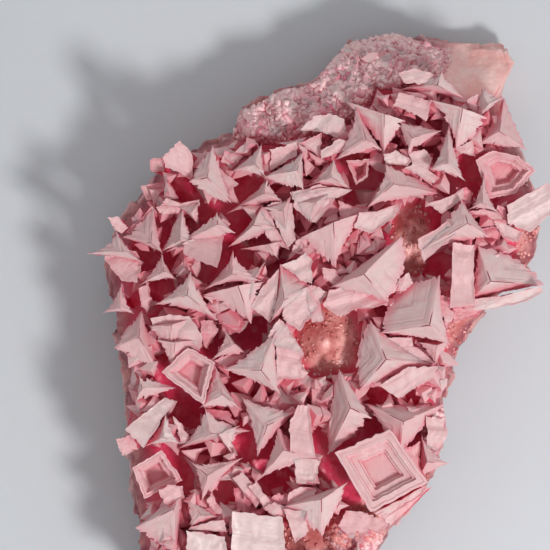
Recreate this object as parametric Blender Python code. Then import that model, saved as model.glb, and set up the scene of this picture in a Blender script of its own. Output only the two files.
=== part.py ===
"""Pink halite specimen: a slab of massive halite that carries a crowd of hopper crystals.

The slab is one solid with a flat, sawn underside.  Each hopper crystal is the corner of a hollow
cube that points up: three arms run down its edges, three faces hang between the arms like webs,
and the walls below draw in to a slender foot on the slab.  Some crystals lie face up and show
square stepped pits.  Crystals that grew through one another are united in one solid.

Places are taken from a plan survey of the specimen in millimetres: x runs right and y runs down
from the survey's corner, and heights are measured up from the underside.
"""

import itertools
import math
import random

import bmesh
import bpy
from mathutils import Matrix, Vector, noise
from mathutils.bvhtree import BVHTree

# Driving dimensions, millimetres
MM = 0.001
PLAN_CENTRE = (81.5, 83.0)
GAP = 0.3
SLAB_TOP = 24.0
SLAB_EDGE_FALL = 6.0
SLAB_MIDDLE = 9.0
SLAB_RINGS = 10
SLAB_ROUGHNESS = 1.1
SLAB_WALL_FLARE = 1.015
SLAB_BASE_TUCK = 0.975

# Crystal proportions
WEB_POINTS = 2
WAIST_WIDTH = 0.55
WAIST_LEVEL = 0.55
FOOT_WIDTH = 0.35
FOOT_SLIDES = 12
FOOT_LOWEST = 10.0
ARM_FLATNESS = 1.5
STEEPEST_ARM = 1.5
FLATTEST_ARM = 3.0
GROWTH_STEP = 0.06
SMALLEST_GROWTH = 0.45
HEIGHT_TRIALS = (0.0, -1.0, 1.0, -2.0, 2.0, -3.0)
FOOT_TRIALS = (GAP, 0.6, 1.0, 1.6)

# Stepped pit of a crystal that lies face up: width as a share of the rim, depth in millimetres
PIT_STEPS = ((0.74, 0.0), (0.70, 1.8), (0.48, 2.0), (0.43, 4.6))

# Sugary druse: small cubes fused to the slab
CUBE_SIZES = (2.2, 4.2)
CUBE_RISE = 0.15
CUBE_SPACING = 4.5
DRUSE_SEED = 11

# Low blocks fused to the slab: height of their root, and its place as a share of the top's
LEDGE_ROOT = 9.0
LEDGE_LEAN = 0.93

# Colours and finish, linear RGB
SLAB_COLOUR = (0.53, 0.18, 0.16, 1.0)
CRYSTAL_COLOUR = (0.66, 0.42, 0.43, 1.0)
FROST_COLOUR = (0.74, 0.58, 0.57, 1.0)
SLAB_ROUGH = 0.45
CRYSTAL_ROUGH = 0.6
FROST_ROUGH = 0.75

# Crystals with a thick white frost
FROSTED = ("slab_w_white", "cube_e_white", "block_s_frosted", "block_n_white", "slab_s_pale")

# Slab outline, clockwise on the survey from the western end of the northern edge
SLAB_OUTLINE = (
    (58, 33), (60, 28), (64.5, 24.5), (70.5, 22), (78, 20), (83, 15.5), (87, 10), (94, 7.5),
    (101, 7), (110, 10), (119, 10.5), (127, 10.5), (128.5, 14), (130, 15.5), (127.5, 19),
    (125.5, 23), (128, 28), (130, 37.5), (133.5, 45), (136, 54), (135, 64), (130, 71),
    (123, 76), (117.5, 84), (114, 91), (111.5, 100), (111.5, 107.5), (110.5, 116),
    (107, 122.5), (103, 127.5), (98, 132.5), (94.5, 138), (93, 145), (88, 151.5),
    (79.5, 155.5), (69.5, 157.5), (58, 157), (48, 154.5), (40, 150), (35.5, 144), (34, 137),
    (34, 132.5), (33, 125), (32.5, 115), (31.5, 107.5), (31, 100), (31, 95), (29, 86),
    (28, 80), (27, 75), (26, 65.5), (29.5, 56), (35.5, 47.5), (40, 41), (46, 37.5), (54, 35),
)

# Swells and hollows of the slab's top: x, y, radius, height
SWELLS = (
    (72, 27, 9, 2),
    (84, 24, 8, 2),
    (96, 16, 9, 3),
    (106, 13, 7, 1),
    (86, 11, 6, -5),
    (95, 7, 8, -7),
    (105, 8, 8, -7),
    (115, 10.5, 7, -5.5),
    (126, 11, 8, -5.5),
    (120, 17, 10, -4),
    (81, 85, 6, 5),
    (103, 60, 6, 4),
    (79, 137, 7, 4),
    (37, 65, 5, -3),
    (56, 62, 5, -3),
    (107, 66, 5, -3),
    (64, 82, 5, -3),
    (47, 105, 5, -3),
    (70, 119, 5, -3),
    (92, 100, 4, -2),
    (88, 137, 6, 3),
)

# Patches of sugary druse: x, y, half width, half height, number of cubes
DRUSE_PATCHES = (
    (71, 27, 11, 5, 14),
    (88, 20, 6, 8, 12),
    (98, 14, 12, 6, 18),
    (81, 86, 6, 6, 8),
    (103, 61, 4, 8, 8),
    (78, 136, 7, 3, 6),
    (89, 136, 5, 4, 6),
)


def star(corner, first, second, third, web=0.85):
    """A cube corner that points up: corner (x, y, height), three arm tips (x, y).

    web shapes the faces' free edges: under 1 they hang in, at 1 they run straight between the
    tips, over 1 they bulge out towards the full square face.  It is one value or one a face.
    """
    webs = web if isinstance(web, tuple) else (web, web, web)
    return {"corner": corner, "tips": (first, second, third), "webs": webs}


def plate(height, fall, *outline, pit=False):
    """A crystal that shows one face: height of its highest point, fall per millimetre (x, y)."""
    return {"height": height, "fall": fall, "outline": outline, "pit": pit}


# Low blocks fused to the slab, read like the plates below
LEDGES = (
    plate(31, (0.1, 0.1), (37, 39.5), (41, 39), (41, 42.8), (37.5, 43)),
    plate(32, (0.2, 0.1), (34.8, 46.3), (41, 45.3), (41.3, 50), (36.3, 50)),
    plate(34, (0.1, 0.1), (56, 37.3), (61, 38.8), (58, 42.3), (55, 40.5)),
    plate(31, (0.05, 0.05), (70.5, 97.5), (77, 97.5), (76.5, 101), (71, 101)),
    plate(31, (0.1, 0.05), (77.8, 97), (81.2, 98), (81.5, 105.5), (78, 108)),
    plate(31, (0.1, 0.05), (85.5, 60), (89.5, 58.5), (89.5, 63), (86, 66)),
    plate(31, (0.05, 0.1), (80.5, 66.5), (85, 66), (85.5, 71), (81, 71.5)),
    plate(31, (0.05, 0.1), (98.5, 70), (102.5, 68.3), (103.5, 72), (99.5, 74)),
    plate(30, (0.1, 0.05), (49.7, 80), (54.3, 80.5), (53, 86), (50.5, 86)),
    plate(31, (0.05, 0.1), (54.5, 80), (60, 79), (61.5, 81), (57.5, 84)),
    plate(32, (0.1, 0.05), (113, 76.5), (121.5, 76.2), (120, 79), (113.5, 80.5)),
    plate(31, (0.05, 0.05), (72.3, 122.3), (77, 121.8), (78.5, 124.5), (73, 126)),
    plate(36, (0.05, 0.05), (73.5, 116.8), (79, 117), (79.3, 121.5), (74, 121)),
    plate(31, (0.1, 0.1), (108, 122), (103, 127.5), (97.5, 132), (95.5, 129.5), (104, 122.5)),
)

# Hopper crystals, one entry a solid: crystals in one entry have grown together
CRYSTALS = {
    "hopper_nw_crown": (
        star((51.8, 44.5, 42), (53.3, 36.5), (47.3, 45.5), (58, 51), web=(1.4, 1.8, 1.2)),
        plate(42, (0.25, 0.35), (45, 35.3), (47.5, 36.8), (48.3, 39.5), (48.3, 45), (41.3, 42),
              (40.5, 39.5), (43, 36.8)),
        plate(38.5, (-0.3, 0.2), (54.3, 41.5), (59.8, 46), (56.5, 49), (53.5, 45)),
    ),
    "hopper_nw_wedge": (
        plate(36, (0.2, -0.2), (41.8, 44.3), (41.3, 49.8), (45, 49.8)),
    ),
    "hopper_w_point": (
        star((30.8, 62.8, 39), (21.8, 63.5), (35.8, 65.8), (29, 58), web=(0.9, 0.9, 0.8)),
        plate(37.5, (0.1, -0.3), (25.5, 64.5), (29.5, 62), (34, 62.5), (35.8, 66), (34.3, 70.8),
              (30.5, 70.3)),
    ),
    "hopper_w_finger": (
        plate(36, (0.3, 0.2), (26.8, 54.3), (29.5, 53.8), (32, 57), (30.5, 58.5), (28, 57)),
    ),
    "hopper_w_brim": (
        star((37.8, 60.8, 38), (30.5, 59.3), (38.5, 51.5), (40.8, 63.3), web=(1.0, 0.9, 0.9)),
    ),
    "hopper_w_crest": (
        star((45, 60, 38.5), (45.8, 50.8), (40, 63), (49.3, 61), web=(1.1, 0.75, 0.75)),
        star((47.5, 53.3, 38), (43, 50.5), (50, 50.5), (49.8, 56.5), web=1.0),
        plate(36, (0.05, 0.2), (38.8, 51.8), (44, 50.6), (48, 50.6), (46, 53.5), (40.5, 54)),
        star((54.5, 56, 41), (54.3, 53), (59, 58.3), (41.5, 63), web=(0.9, 1.0, 0.9)),
        plate(40.8, (0.1, -0.5), (53.5, 56), (56.5, 57.5), (54.5, 67.3), (46, 64), (45.5, 61)),
    ),
    "hopper_w_sliver": (
        star((41, 67.8, 36), (40.3, 63), (34.5, 71.5), (44.3, 70), web=0.8),
    ),
    "hopper_w_trident": (
        star((46.8, 73.8, 39), (47.8, 67.8), (38.8, 76), (54.3, 79.8), web=0.85),
        star((46, 67, 35), (46, 62.8), (43.8, 69.5), (48, 68.5), web=1.2),
    ),
    "hopper_w_fin": (
        star((30, 76.8, 37), (30.3, 70.8), (25.5, 78.3), (33.5, 78.5), web=0.85),
    ),
    "hopper_w_shell": (
        star((34.8, 84.3, 38), (35.3, 77.8), (28.5, 87), (39.5, 92.8), web=(1.35, 1.1, 1.5)),
    ),
    "hopper_w_square": (
        plate(38, (0.1, -0.1), (40, 93), (47, 86.5), (54, 90.5), (51, 101.5), pit=True),
        star((43.8, 85.5, 38), (39, 85), (50.8, 85), (43, 93.8), web=0.8),
        star((42.8, 81.3, 38), (37, 81.5), (49, 79.3), (43, 86.5), web=1.3),
    ),
    "hopper_w_kite": (
        star((55.5, 98.5, 38.5), (53.5, 90.8), (49.8, 102), (60.5, 102.5), web=0.85),
    ),
    "hopper_w_club": (
        star((35.5, 97, 38), (34.8, 94), (34, 100.5), (44, 97), web=1.2),
    ),
    "slab_w_white": (
        plate(39, (0.15, -0.25), (41.5, 99), (43.8, 100.3), (36, 112), (31, 107.5), (35, 104)),
        star((40.8, 109.3, 37.5), (41.5, 102.3), (36, 111.8), (45.3, 111), web=0.8),
    ),
    "block_w_small": (
        plate(34, (0.15, 0.1), (28.8, 109.8), (33.3, 108.5), (34.5, 112.5), (30.3, 114.5)),
    ),
    "hopper_w_ragged": (
        star((52.8, 108.3, 38.5), (44.5, 112.3), (51.3, 102), (62.8, 107.8),
             web=(0.8, 0.8, 1.2)),
        star((54.5, 108.5, 37.5), (51, 106), (60, 106.5), (58, 113.3), web=1.0),
    ),
    "hopper_sw_wing": (
        star((43.5, 127, 38), (33.5, 132.3), (45.5, 121.8), (44, 138.5), web=(1.0, 1.5, 1.1)),
        plate(38, (0.1, 0.1), (39.5, 122.5), (42, 121), (45.8, 121.3), (46.2, 124.5), (41, 126.5)),
        plate(35, (0.15, 0.1), (32.8, 117), (40.5, 112.3), (46, 120.3), (35.8, 125), pit=True),
    ),
    "hopper_sw_fork": (
        star((51.8, 118.8, 38), (60.8, 114.5), (47.8, 115.5), (50.5, 125.5), web=0.85),
    ),
    "hopper_sw_rose": (
        star((50.3, 128.8, 36), (46.5, 124.3), (55.5, 129.5), (47.5, 132), web=1.0),
    ),
    "slats_sw": (
        plate(36, (0.05, -0.1), (58, 119.5), (60.5, 118), (66.5, 124), (64, 127)),
        plate(37, (0.05, -0.1), (62, 121.5), (64, 120), (69, 127), (66.5, 128)),
    ),
    "slab_s_pale": (
        plate(37, (0.1, 0.1), (46.5, 132.5), (56.5, 134), (57, 140.5), (46.5, 140.5)),
    ),
    "block_s_frosted": (
        plate(38, (0.05, 0.1), (58, 127.5), (71, 129), (72, 144.5), (57.5, 143.5)),
    ),
    "hopper_n_reef": (
        star((74.3, 42.5, 39), (75.8, 37.8), (65.5, 44.3), (76, 48), web=(0.9, 1.1, 1.1)),
        star((63.8, 41, 38), (65.5, 35.8), (57.3, 43), (66.5, 44.3), web=0.9),
        plate(35, (0.1, 0.2), (67.3, 37.3), (74.3, 35.3), (74.5, 39), (67.3, 42.8)),
        star((66, 48.3, 37), (56.3, 53.5), (66.8, 44.5), (70.8, 50.3), web=0.9),
        star((70.8, 52.8, 38), (73, 48.5), (65.5, 51.8), (72, 62.5), web=(0.75, 0.75, 1.5)),
        star((79, 50.5, 38), (72.5, 50.8), (84.8, 46.5), (77.5, 56), web=1.0),
        plate(36.5, (0.05, 0.1), (73, 48), (80, 46), (84.8, 47), (84, 50), (79, 56.3), (73.3, 52)),
        star((82.8, 44.3, 38), (83.5, 39.5), (88, 47.5), (75.8, 47), web=0.9),
    ),
    "hopper_c_spread": (
        star((63.3, 56.3, 37), (65.8, 51), (57, 61.8), (69.5, 57), web=(0.9, 1.3, 1.2)),
    ),
    "hopper_c_shard": (
        star((67, 61, 36), (60, 62.3), (69.8, 65), (71.5, 60), web=0.8),
    ),
    "hopper_n_crest": (
        star((91.5, 35, 40), (89, 26.5), (84, 40), (95.5, 37.5), web=0.9),
        star((96, 28.5, 39.5), (86.5, 25.3), (101.5, 30.3), (96, 38), web=1.0),
        plate(37, (0.1, 0.1), (80, 37.8), (85, 34.3), (87, 35.3), (86, 38), (80, 40)),
        plate(36, (0.0, 0.1), (80.5, 33), (74.8, 35.8), (80.5, 40)),
        star((103, 34.5, 39), (99.5, 30), (110.3, 32.8), (102, 38.5), web=1.1),
    ),
    "hopper_n_ring": (
        plate(34.5, (0.1, 0.1), (86.5, 40), (92.5, 39.5), (92, 44.5), (89, 46.5), pit=True),
    ),
    "block_n_white": (
        plate(36, (0.05, 0.1), (95.8, 38.5), (99, 37.5), (103.3, 40), (102, 41.5), (96, 41)),
    ),
    "hopper_e_great": (
        star((98.3, 46, 40), (91.8, 51.8), (96.3, 41), (110.3, 48.5), web=(0.8, 1.6, 0.9)),
    ),
    "hopper_ne_gable": (
        star((109.3, 21.3, 37), (110.5, 18), (99.5, 22.3), (116.5, 24.8), web=1.0),
    ),
    "hopper_ne_frame": (
        star((115.5, 27, 40), (107, 24.8), (121.8, 29.5), (114, 37.5), web=(1.5, 1.3, 0.8)),
        plate(36.5, (0.1, 0.1), (99.5, 22.8), (104, 24), (108, 25.3), (107, 30.5), (101.5, 27.8),
              (98.3, 26.5)),
        plate(35, (0.1, 0.1), (113.5, 37), (118.3, 34.8), (118.8, 39), (115, 38.8)),
        star((111.8, 40.8, 41), (112.3, 31), (116.3, 45.3), (107.5, 42.5), web=0.9),
        star((121.8, 26.3, 37), (120.5, 21.5), (125.8, 24.5), (119.5, 30), web=(1.0, 1.0, 1.8)),
    ),
    "hopper_ne_soft": (
        star((124.8, 32.8, 36), (120, 35.8), (131.8, 37.5), (126.3, 24.3), web=1.1),
    ),
    "cube_e_white": (
        plate(36, (0.05, 0.15), (126.5, 51.3), (137, 45.5), (140.5, 51.3), (132.5, 58.3),
              (127, 56)),
    ),
    "hopper_e_arm": (
        star((116.8, 55.8, 40), (105, 62.8), (115.3, 49.8), (122.3, 59.3), web=1.0),
        plate(38, (-0.2, 0.1), (104, 60), (112, 55), (114, 58.5), (106, 65.5)),
        star((120.5, 50.8, 38), (121, 43.3), (117, 52.5), (125, 53.3), web=0.75),
        plate(34, (0.1, 0.1), (119, 40), (123, 37.3), (130, 38.8), (134.5, 42.5), (129, 48.5),
              (122, 49.8), pit=True),
    ),
    "hopper_e_dark": (
        plate(35, (0.05, 0.1), (106.5, 51), (112.5, 49), (116, 46.8), (116.5, 49.5),
              (110.5, 53.5)),
    ),
    "hopper_e_apron": (
        plate(38, (0.1, 0.02), (113, 60.5), (118.5, 61), (118.8, 76.5), (112.3, 77)),
        star((122.5, 70.3, 38), (119.5, 61.3), (136.3, 71.3), (117.5, 75), web=(2.0, 1.0, 1.0)),
    ),
    "hopper_e_hood": (
        star((107.3, 81.3, 41), (95, 83.3), (110, 68.8), (112.5, 86.3), web=(4.0, 0.9, 0.9)),
    ),
    "hopper_e_pair": (
        star((96.5, 89.8, 39), (92.5, 80), (89.8, 97.8), (109.3, 91.3), web=(1.9, 0.9, 0.9)),
        star((109.3, 86.3, 35), (104.5, 85.5), (113.3, 84.8), (109, 91.5), web=1.0),
        plate(37, (0.0, 0.2), (94.5, 96.5), (102, 91.5), (109.5, 91.5), (109, 94.3),
              (104, 97), (99.5, 100)),
    ),
    "hopper_c_terrace": (
        star((90.8, 68.5, 41), (100.5, 59), (82.3, 72), (97, 75.5), web=(1.3, 1.0, 1.7)),
        plate(37, (0.1, -0.1), (82, 72.5), (90, 70), (97.5, 75.5), (93.5, 77), (89, 77.5),
              (85, 79.5), (80.5, 76.5)),
    ),
    "hopper_c_stub": (
        star((76, 61.8, 35), (71.5, 65.3), (74.3, 58.8), (82, 62.5), web=1.1),
    ),
    "hopper_c_pillar": (
        star((83.3, 55.5, 40), (75, 59.5), (84, 67), (93, 52.5), web=(1.1, 0.8, 1.6)),
        plate(37.5, (0.1, 0.1), (88.3, 57), (89.5, 53), (95, 52.5), (100, 50.8), (99, 54),
              (93, 58.5)),
    ),
    "hopper_c_triple": (
        star((58, 68.5, 40), (58.3, 62.5), (50.8, 72.5), (65.5, 70.3), web=0.8),
        star((63.5, 69.5, 38), (66.5, 65.3), (58.5, 68.5), (62.5, 75), web=0.9),
        star((59.5, 71.3, 39), (50.5, 73.8), (62.8, 81), (66, 70.5), web=0.95),
    ),
    "hopper_c_ring": (
        star((71, 75, 39), (70, 66), (78, 71.5), (67.5, 80.8), web=1.2),
        plate(37, (0.1, 0.05), (70.5, 74.5), (77, 71.5), (80, 77), (75, 83), (70.5, 80)),
    ),
    "hopper_c_beak": (
        star((58.5, 85.8, 38), (56.5, 82.8), (61.8, 88.8), (53, 90), web=0.9),
    ),
    "hopper_c_chief": (
        star((65.3, 92.5, 41), (55.8, 92.3), (70.3, 98.8), (69, 82.8), web=0.95),
        plate(37.5, (0.1, 0.1), (69, 86.3), (76, 88), (75.5, 94.8), (69, 95)),
    ),
    "column_s": (
        plate(40, (0.05, -0.05), (74.5, 100.8), (77.3, 101.3), (79, 114.5), (72.5, 113),
              (72, 106)),
        star((70.8, 112.3, 39), (65, 119.8), (69.3, 106.3), (80.5, 115), web=0.85),
        star((66.8, 106.3, 39), (60.5, 99.3), (64.3, 114.3), (74, 103), web=0.95),
    ),
    "hopper_s_hook": (
        star((87.5, 101.8, 40), (84.8, 92.3), (93, 104.5), (82, 113.8), web=(1.2, 1.1, 1.6)),
    ),
    "hopper_se_vault": (
        star((100.8, 105.3, 38), (91.3, 101), (111.5, 101), (100, 114.3), web=1.0),
        plate(34, (0.1, 0.05), (106.5, 104), (111.5, 104.5), (112.3, 108), (110, 113.5),
              (106.8, 112)),
        star((106.8, 115.5, 36), (112.5, 116), (104, 121), (105.5, 109), web=0.9),
    ),
    "hopper_se_square": (
        plate(40, (-0.02, 0.05), (83.5, 113), (97.3, 106.8), (107, 120.5), (92.5, 128.3),
              pit=True),
    ),
    "hopper_s_great": (
        star((80.3, 124.5, 41), (87, 120.5), (80.5, 134.3), (69.8, 127), web=(1.2, 1.0, 1.3)),
        plate(38, (0.0, 0.2), (70.8, 127), (76.5, 127.5), (77.5, 133), (73.8, 136)),
    ),
    "hopper_s_rim_west": (
        star((43, 145, 36), (37, 146.5), (44.5, 141.5), (47, 150), web=0.95),
    ),
    "hopper_s_rim_middle": (
        star((53, 148, 37), (47, 148.5), (55, 144.5), (56.5, 153.5), web=0.9),
    ),
    "hopper_s_rim_centre": (
        star((65.5, 150.5, 37), (59, 152), (67, 146), (71, 154.5), web=0.9),
    ),
    "hopper_s_rim_east": (
        star((78.5, 144.5, 37.5), (74, 148.5), (79.5, 138.5), (85, 147), web=0.9),
    ),
    "hopper_s_rim_square": (
        plate(34, (0.05, 0.05), (75, 149.5), (81, 149.5), (82.5, 153), (75.5, 154), pit=True),
    ),
    "hopper_se_rim": (
        star((89.5, 140.5, 35), (85, 143.5), (89.5, 135), (94, 143), web=0.9),
    ),
}

# Smaller crystals that grow later, in the room that the crystals above leave, on the same solids
FILLERS = {
    "hopper_w_square": (
        plate(36, (0.05, 0.05), (37.5, 79.5), (42.5, 78.5), (47.5, 79), (51.2, 84.5), (50, 88),
              (44.5, 85.5), (40, 86.5)),
    ),
    "hopper_n_reef": (
        plate(36.5, (0, 0.1), (72, 48), (75.8, 47.2), (84.5, 46.8), (88.2, 47.5), (84.5, 49.5),
              (75, 51), (73, 49.8)),
    ),
    "hopper_n_crest": (
        plate(34.5, (0.05, 0.05), (75, 32.5), (78, 29), (82.5, 28.2), (86.2, 29.5), (86.8, 33),
              (84.5, 34.5), (80.5, 33.2)),
    ),
    "hopper_e_arm": (
        plate(33.5, (0.05, 0.05), (124.5, 51.2), (126.5, 51.8), (127, 56.2), (131.5, 58.5),
              (129.5, 60.8), (126, 59.5), (123.2, 55.5)),
    ),
    "hopper_e_dark": (
        plate(34, (0.05, 0.1), (113.8, 46.8), (117, 46.5), (118.5, 48.2), (117.5, 52),
              (115.8, 49.8)),
    ),
    "hopper_e_hood": (
        plate(35, (0.1, 0.05), (109.2, 73.2), (112.2, 74.2), (112.8, 77.5), (114.2, 78.2),
              (111.8, 82.5), (110.2, 78)),
    ),
    "hopper_e_pair": (
        plate(35, (0.05, 0.1), (96.5, 84.5), (103, 84), (103.5, 86.5), (105.2, 87.2),
              (109.2, 91.2), (104.5, 90), (99.5, 86.5)),
        plate(33, (0.05, 0.05), (104.2, 96), (107, 95), (110.2, 93.2), (111.8, 96.5),
              (110.2, 99.5), (106.2, 100), (103.8, 99)),
    ),
    "hopper_c_ring": (
        plate(37.5, (0.05, 0.05), (70.2, 66.2), (74, 64.8), (76.5, 63), (78.2, 65), (78.2, 71.2),
              (75, 70.2)),
        plate(36, (0.1, 0.02), (76.8, 71.5), (78.5, 71), (82, 72.8), (80.5, 76.5), (81.2, 80.5),
              (78, 80.8), (76.5, 75)),
    ),
    "hopper_c_chief": (
        plate(38, (0.05, -0.1), (66.5, 84), (69.8, 79.5), (71.8, 81.2), (74.2, 85), (76, 88.2),
              (69, 86.8)),
    ),
    "hopper_se_vault": (
        plate(35.5, (0.1, 0), (99.2, 108.5), (102, 111.8), (105.2, 110.2), (105, 117),
              (106.8, 120), (105, 121.2), (100.5, 112.5)),
    ),
}


def clear_scene():
    """Remove every object, so that the part starts from an empty scene."""
    for old in list(bpy.data.objects):
        bpy.data.objects.remove(old)


def finish(name, colour, roughness):
    """A plain Principled material."""
    material = bpy.data.materials.new(name)
    material.use_nodes = True
    shader = material.node_tree.nodes["Principled BSDF"]
    shader.inputs["Base Color"].default_value = colour
    shader.inputs["Roughness"].default_value = roughness
    shader.inputs["Metallic"].default_value = 0.0
    return material


def to_world(x, y, height):
    """Survey millimetres to world metres: +X right, +Y up the survey, +Z up."""
    return Vector(((x - PLAN_CENTRE[0]) * MM, (PLAN_CENTRE[1] - y) * MM, height * MM))


def solid(name, points, faces):
    """A mesh object from points and faces, cut in triangles that are turned outwards."""
    mesh = bpy.data.meshes.new(name)
    mesh.from_pydata(points, [], faces)
    shape = bmesh.new()
    shape.from_mesh(mesh)
    bmesh.ops.triangulate(shape, faces=shape.faces)
    bmesh.ops.recalc_face_normals(shape, faces=shape.faces)
    shape.to_mesh(mesh)
    shape.free()
    made = bpy.data.objects.new(name, mesh)
    bpy.context.scene.collection.objects.link(made)
    return made


def gather(pieces):
    """One object from many small pieces, which may run through one another."""
    shape = bmesh.new()
    for piece in pieces:
        shape.from_mesh(piece.data)
        bpy.data.objects.remove(piece)
    mesh = bpy.data.meshes.new("gathered")
    shape.to_mesh(mesh)
    shape.free()
    made = bpy.data.objects.new("gathered", mesh)
    bpy.context.scene.collection.objects.link(made)
    return made


def unite(name, pieces, crossed=False):
    """One solid from pieces that run through one another; crossed if one crosses itself."""
    body = pieces[0]
    for piece in pieces[1:]:
        joint = body.modifiers.new("grown_together", "BOOLEAN")
        joint.operation = "UNION"
        joint.solver = "EXACT"
        joint.use_self = crossed
        joint.object = piece
    bpy.context.view_layer.update()
    graph = bpy.context.evaluated_depsgraph_get()
    mesh = bpy.data.meshes.new_from_object(body.evaluated_get(graph))
    for piece in pieces:
        bpy.data.objects.remove(piece)
    shape = bmesh.new()
    shape.from_mesh(mesh)
    bmesh.ops.triangulate(shape, faces=shape.faces)
    shape.to_mesh(mesh)
    shape.free()
    mesh.name = name
    made = bpy.data.objects.new(name, mesh)
    bpy.context.scene.collection.objects.link(made)
    return made


def surface_tree(piece):
    """A search tree of the piece's faces."""
    shape = bmesh.new()
    shape.from_mesh(piece.data)
    tree = BVHTree.FromBMesh(shape)
    shape.free()
    return tree


def swollen_tree(piece, gap):
    """A search tree of the piece with its surface pushed out by gap metres."""
    shape = bmesh.new()
    shape.from_mesh(piece.data)
    shape.normal_update()
    for vertex in shape.verts:
        vertex.co += vertex.normal * gap
    tree = BVHTree.FromBMesh(shape)
    shape.free()
    return tree


# Slab


def slab_height(x, y, reach):
    """Height of the slab's top at a survey place; reach is 0 at its middle and 1 at its edge."""
    height = SLAB_TOP - SLAB_EDGE_FALL * max(0.0, (reach - 0.7) / 0.3) ** 2
    for swell_x, swell_y, radius, rise in SWELLS:
        away = math.hypot(x - swell_x, y - swell_y) / radius
        height += rise * math.exp(-away * away)
    return height + SLAB_ROUGHNESS * noise.noise(Vector((x / 4.0, y / 4.0, 0.0)))


def slab_ring(reach, height_of):
    """The slab's outline drawn in to a share of its width, with a height for each point."""
    ring = []
    for x, y in SLAB_OUTLINE:
        place_x = PLAN_CENTRE[0] + (x - PLAN_CENTRE[0]) * reach
        place_y = PLAN_CENTRE[1] + (y - PLAN_CENTRE[1]) * reach
        ring.append(to_world(place_x, place_y, height_of(place_x, place_y)))
    return ring


def bridge(start_a, start_b, count):
    """Faces between two rings of points."""
    faces = []
    for i in range(count):
        j = (i + 1) % count
        faces.append((start_a + i, start_a + j, start_b + j, start_b + i))
    return faces


def make_slab():
    """Massive halite: rings of one outline, from the top's middle over the edge to the base."""
    count = len(SLAB_OUTLINE)
    rings = []
    for step in range(1, SLAB_RINGS + 1):
        reach = step / SLAB_RINGS
        rings.append(slab_ring(reach, lambda x, y: slab_height(x, y, reach)))
    rings.append(slab_ring(SLAB_WALL_FLARE, lambda x, y: SLAB_MIDDLE))
    rings.append(slab_ring(SLAB_BASE_TUCK, lambda x, y: 0.0))
    points = [to_world(*PLAN_CENTRE, slab_height(*PLAN_CENTRE, 0.0))]
    faces = [(0, 1 + i, 1 + (i + 1) % count) for i in range(count)]
    for ring in rings:
        points.extend(ring)
    for level in range(len(rings) - 1):
        faces += bridge(1 + level * count, 1 + (level + 1) * count, count)
    last = 1 + (len(rings) - 1) * count
    faces.append(tuple(range(last, last + count)))
    return solid("slab", points, faces)


def druse_cubes(slab):
    """Small cubes at chance angles, each sunk a little in the slab's top and clear of the rest."""
    chance = random.Random(DRUSE_SEED)
    ground = surface_tree(slab)
    cubes = []
    places = []
    for x, y, half_width, half_height, number in DRUSE_PATCHES:
        for _ in range(number):
            spot_x = x + chance.uniform(-half_width, half_width)
            spot_y = y + chance.uniform(-half_height, half_height)
            size = chance.uniform(*CUBE_SIZES) * MM
            turn = Matrix.Rotation(chance.uniform(0, math.pi), 4, "Z")
            turn @= Matrix.Rotation(chance.uniform(-0.9, 0.9), 4, "X")
            hit = ground.ray_cast(to_world(spot_x, spot_y, 60.0), Vector((0, 0, -1)))[0]
            if hit is None or any((hit - place).length < CUBE_SPACING * MM for place in places):
                continue
            places.append(hit)
            cube = bmesh.new()
            bmesh.ops.create_cube(cube, size=size, matrix=turn)
            mesh = bpy.data.meshes.new("druse_cube")
            cube.to_mesh(mesh)
            cube.free()
            mesh.transform(Matrix.Translation(hit + Vector((0, 0, size * CUBE_RISE))))
            piece = bpy.data.objects.new("druse_cube", mesh)
            bpy.context.scene.collection.objects.link(piece)
            cubes.append(piece)
    return cubes


def make_ledge(ledge):
    """A low block whose walls run down and inwards into the slab."""
    _, rim = plate_cap(ledge, 1.0, 0.0)
    root = [Vector((point.x * LEDGE_LEAN, point.y * LEDGE_LEAN, LEDGE_ROOT * MM)) for point in rim]
    count = len(rim)
    faces = [tuple(range(count)), tuple(range(count, 2 * count))] + bridge(0, count, count)
    return solid("ledge", rim + root, faces)


# Hopper crystals


def arm_drop(length, own, left, right):
    """Fall of a cube edge whose plan makes angles with the other two edges' plans.

    Three edges at right angles that point down from a corner obey
    tan^2 = -cos(left, right) / (cos(own, left) cos(own, right)), where tan is the plan length
    over the fall.  The corner is then pressed flat by ARM_FLATNESS, as the arms of a hopper
    outgrow it.  Arms that stand too close together in plan take a middling fall.
    """
    toward_left = math.cos(own - left)
    toward_right = math.cos(own - right)
    across = math.cos(left - right)
    if toward_left * toward_right <= 1e-6 or across >= 0:
        slope = math.sqrt(2.0)
    else:
        slope = math.sqrt(-across / (toward_left * toward_right))
    return length / min(max(slope * ARM_FLATNESS, STEEPEST_ARM), FLATTEST_ARM)


def star_cap(crystal, size, lift):
    """Corner and free edge of a star crystal, drawn to a share of its size."""
    corner = to_world(*crystal["corner"])
    corner.z += lift * MM
    arms = []
    for tip, web in zip(crystal["tips"], crystal["webs"]):
        reach = (to_world(*tip, 0.0) - corner) * size
        arms.append((math.atan2(reach.y, reach.x), math.hypot(reach.x, reach.y), web))
    webs = {}
    for i in range(3):
        webs[frozenset((i, (i + 1) % 3))] = arms[i][2]
    order = sorted(range(3), key=lambda i: arms[i][0])
    edges = []
    for i in order:
        own, length, _ = arms[i]
        others = [arms[k][0] for k in range(3) if k != i]
        drop = arm_drop(length, own, *others)
        edges.append(Vector((length * math.cos(own), length * math.sin(own), -drop)))
    rim = []
    for k in range(3):
        here, following = edges[k], edges[(k + 1) % 3]
        power = 2.0 / webs[frozenset((order[k], order[(k + 1) % 3]))]
        rim.append(corner + here)
        for step in range(1, WEB_POINTS + 1):
            turn = math.pi / 2 * step / (WEB_POINTS + 1)
            near, far = math.cos(turn) ** power, math.sin(turn) ** power
            rim.append(corner + here * near + following * far)
    return corner, rim


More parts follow.
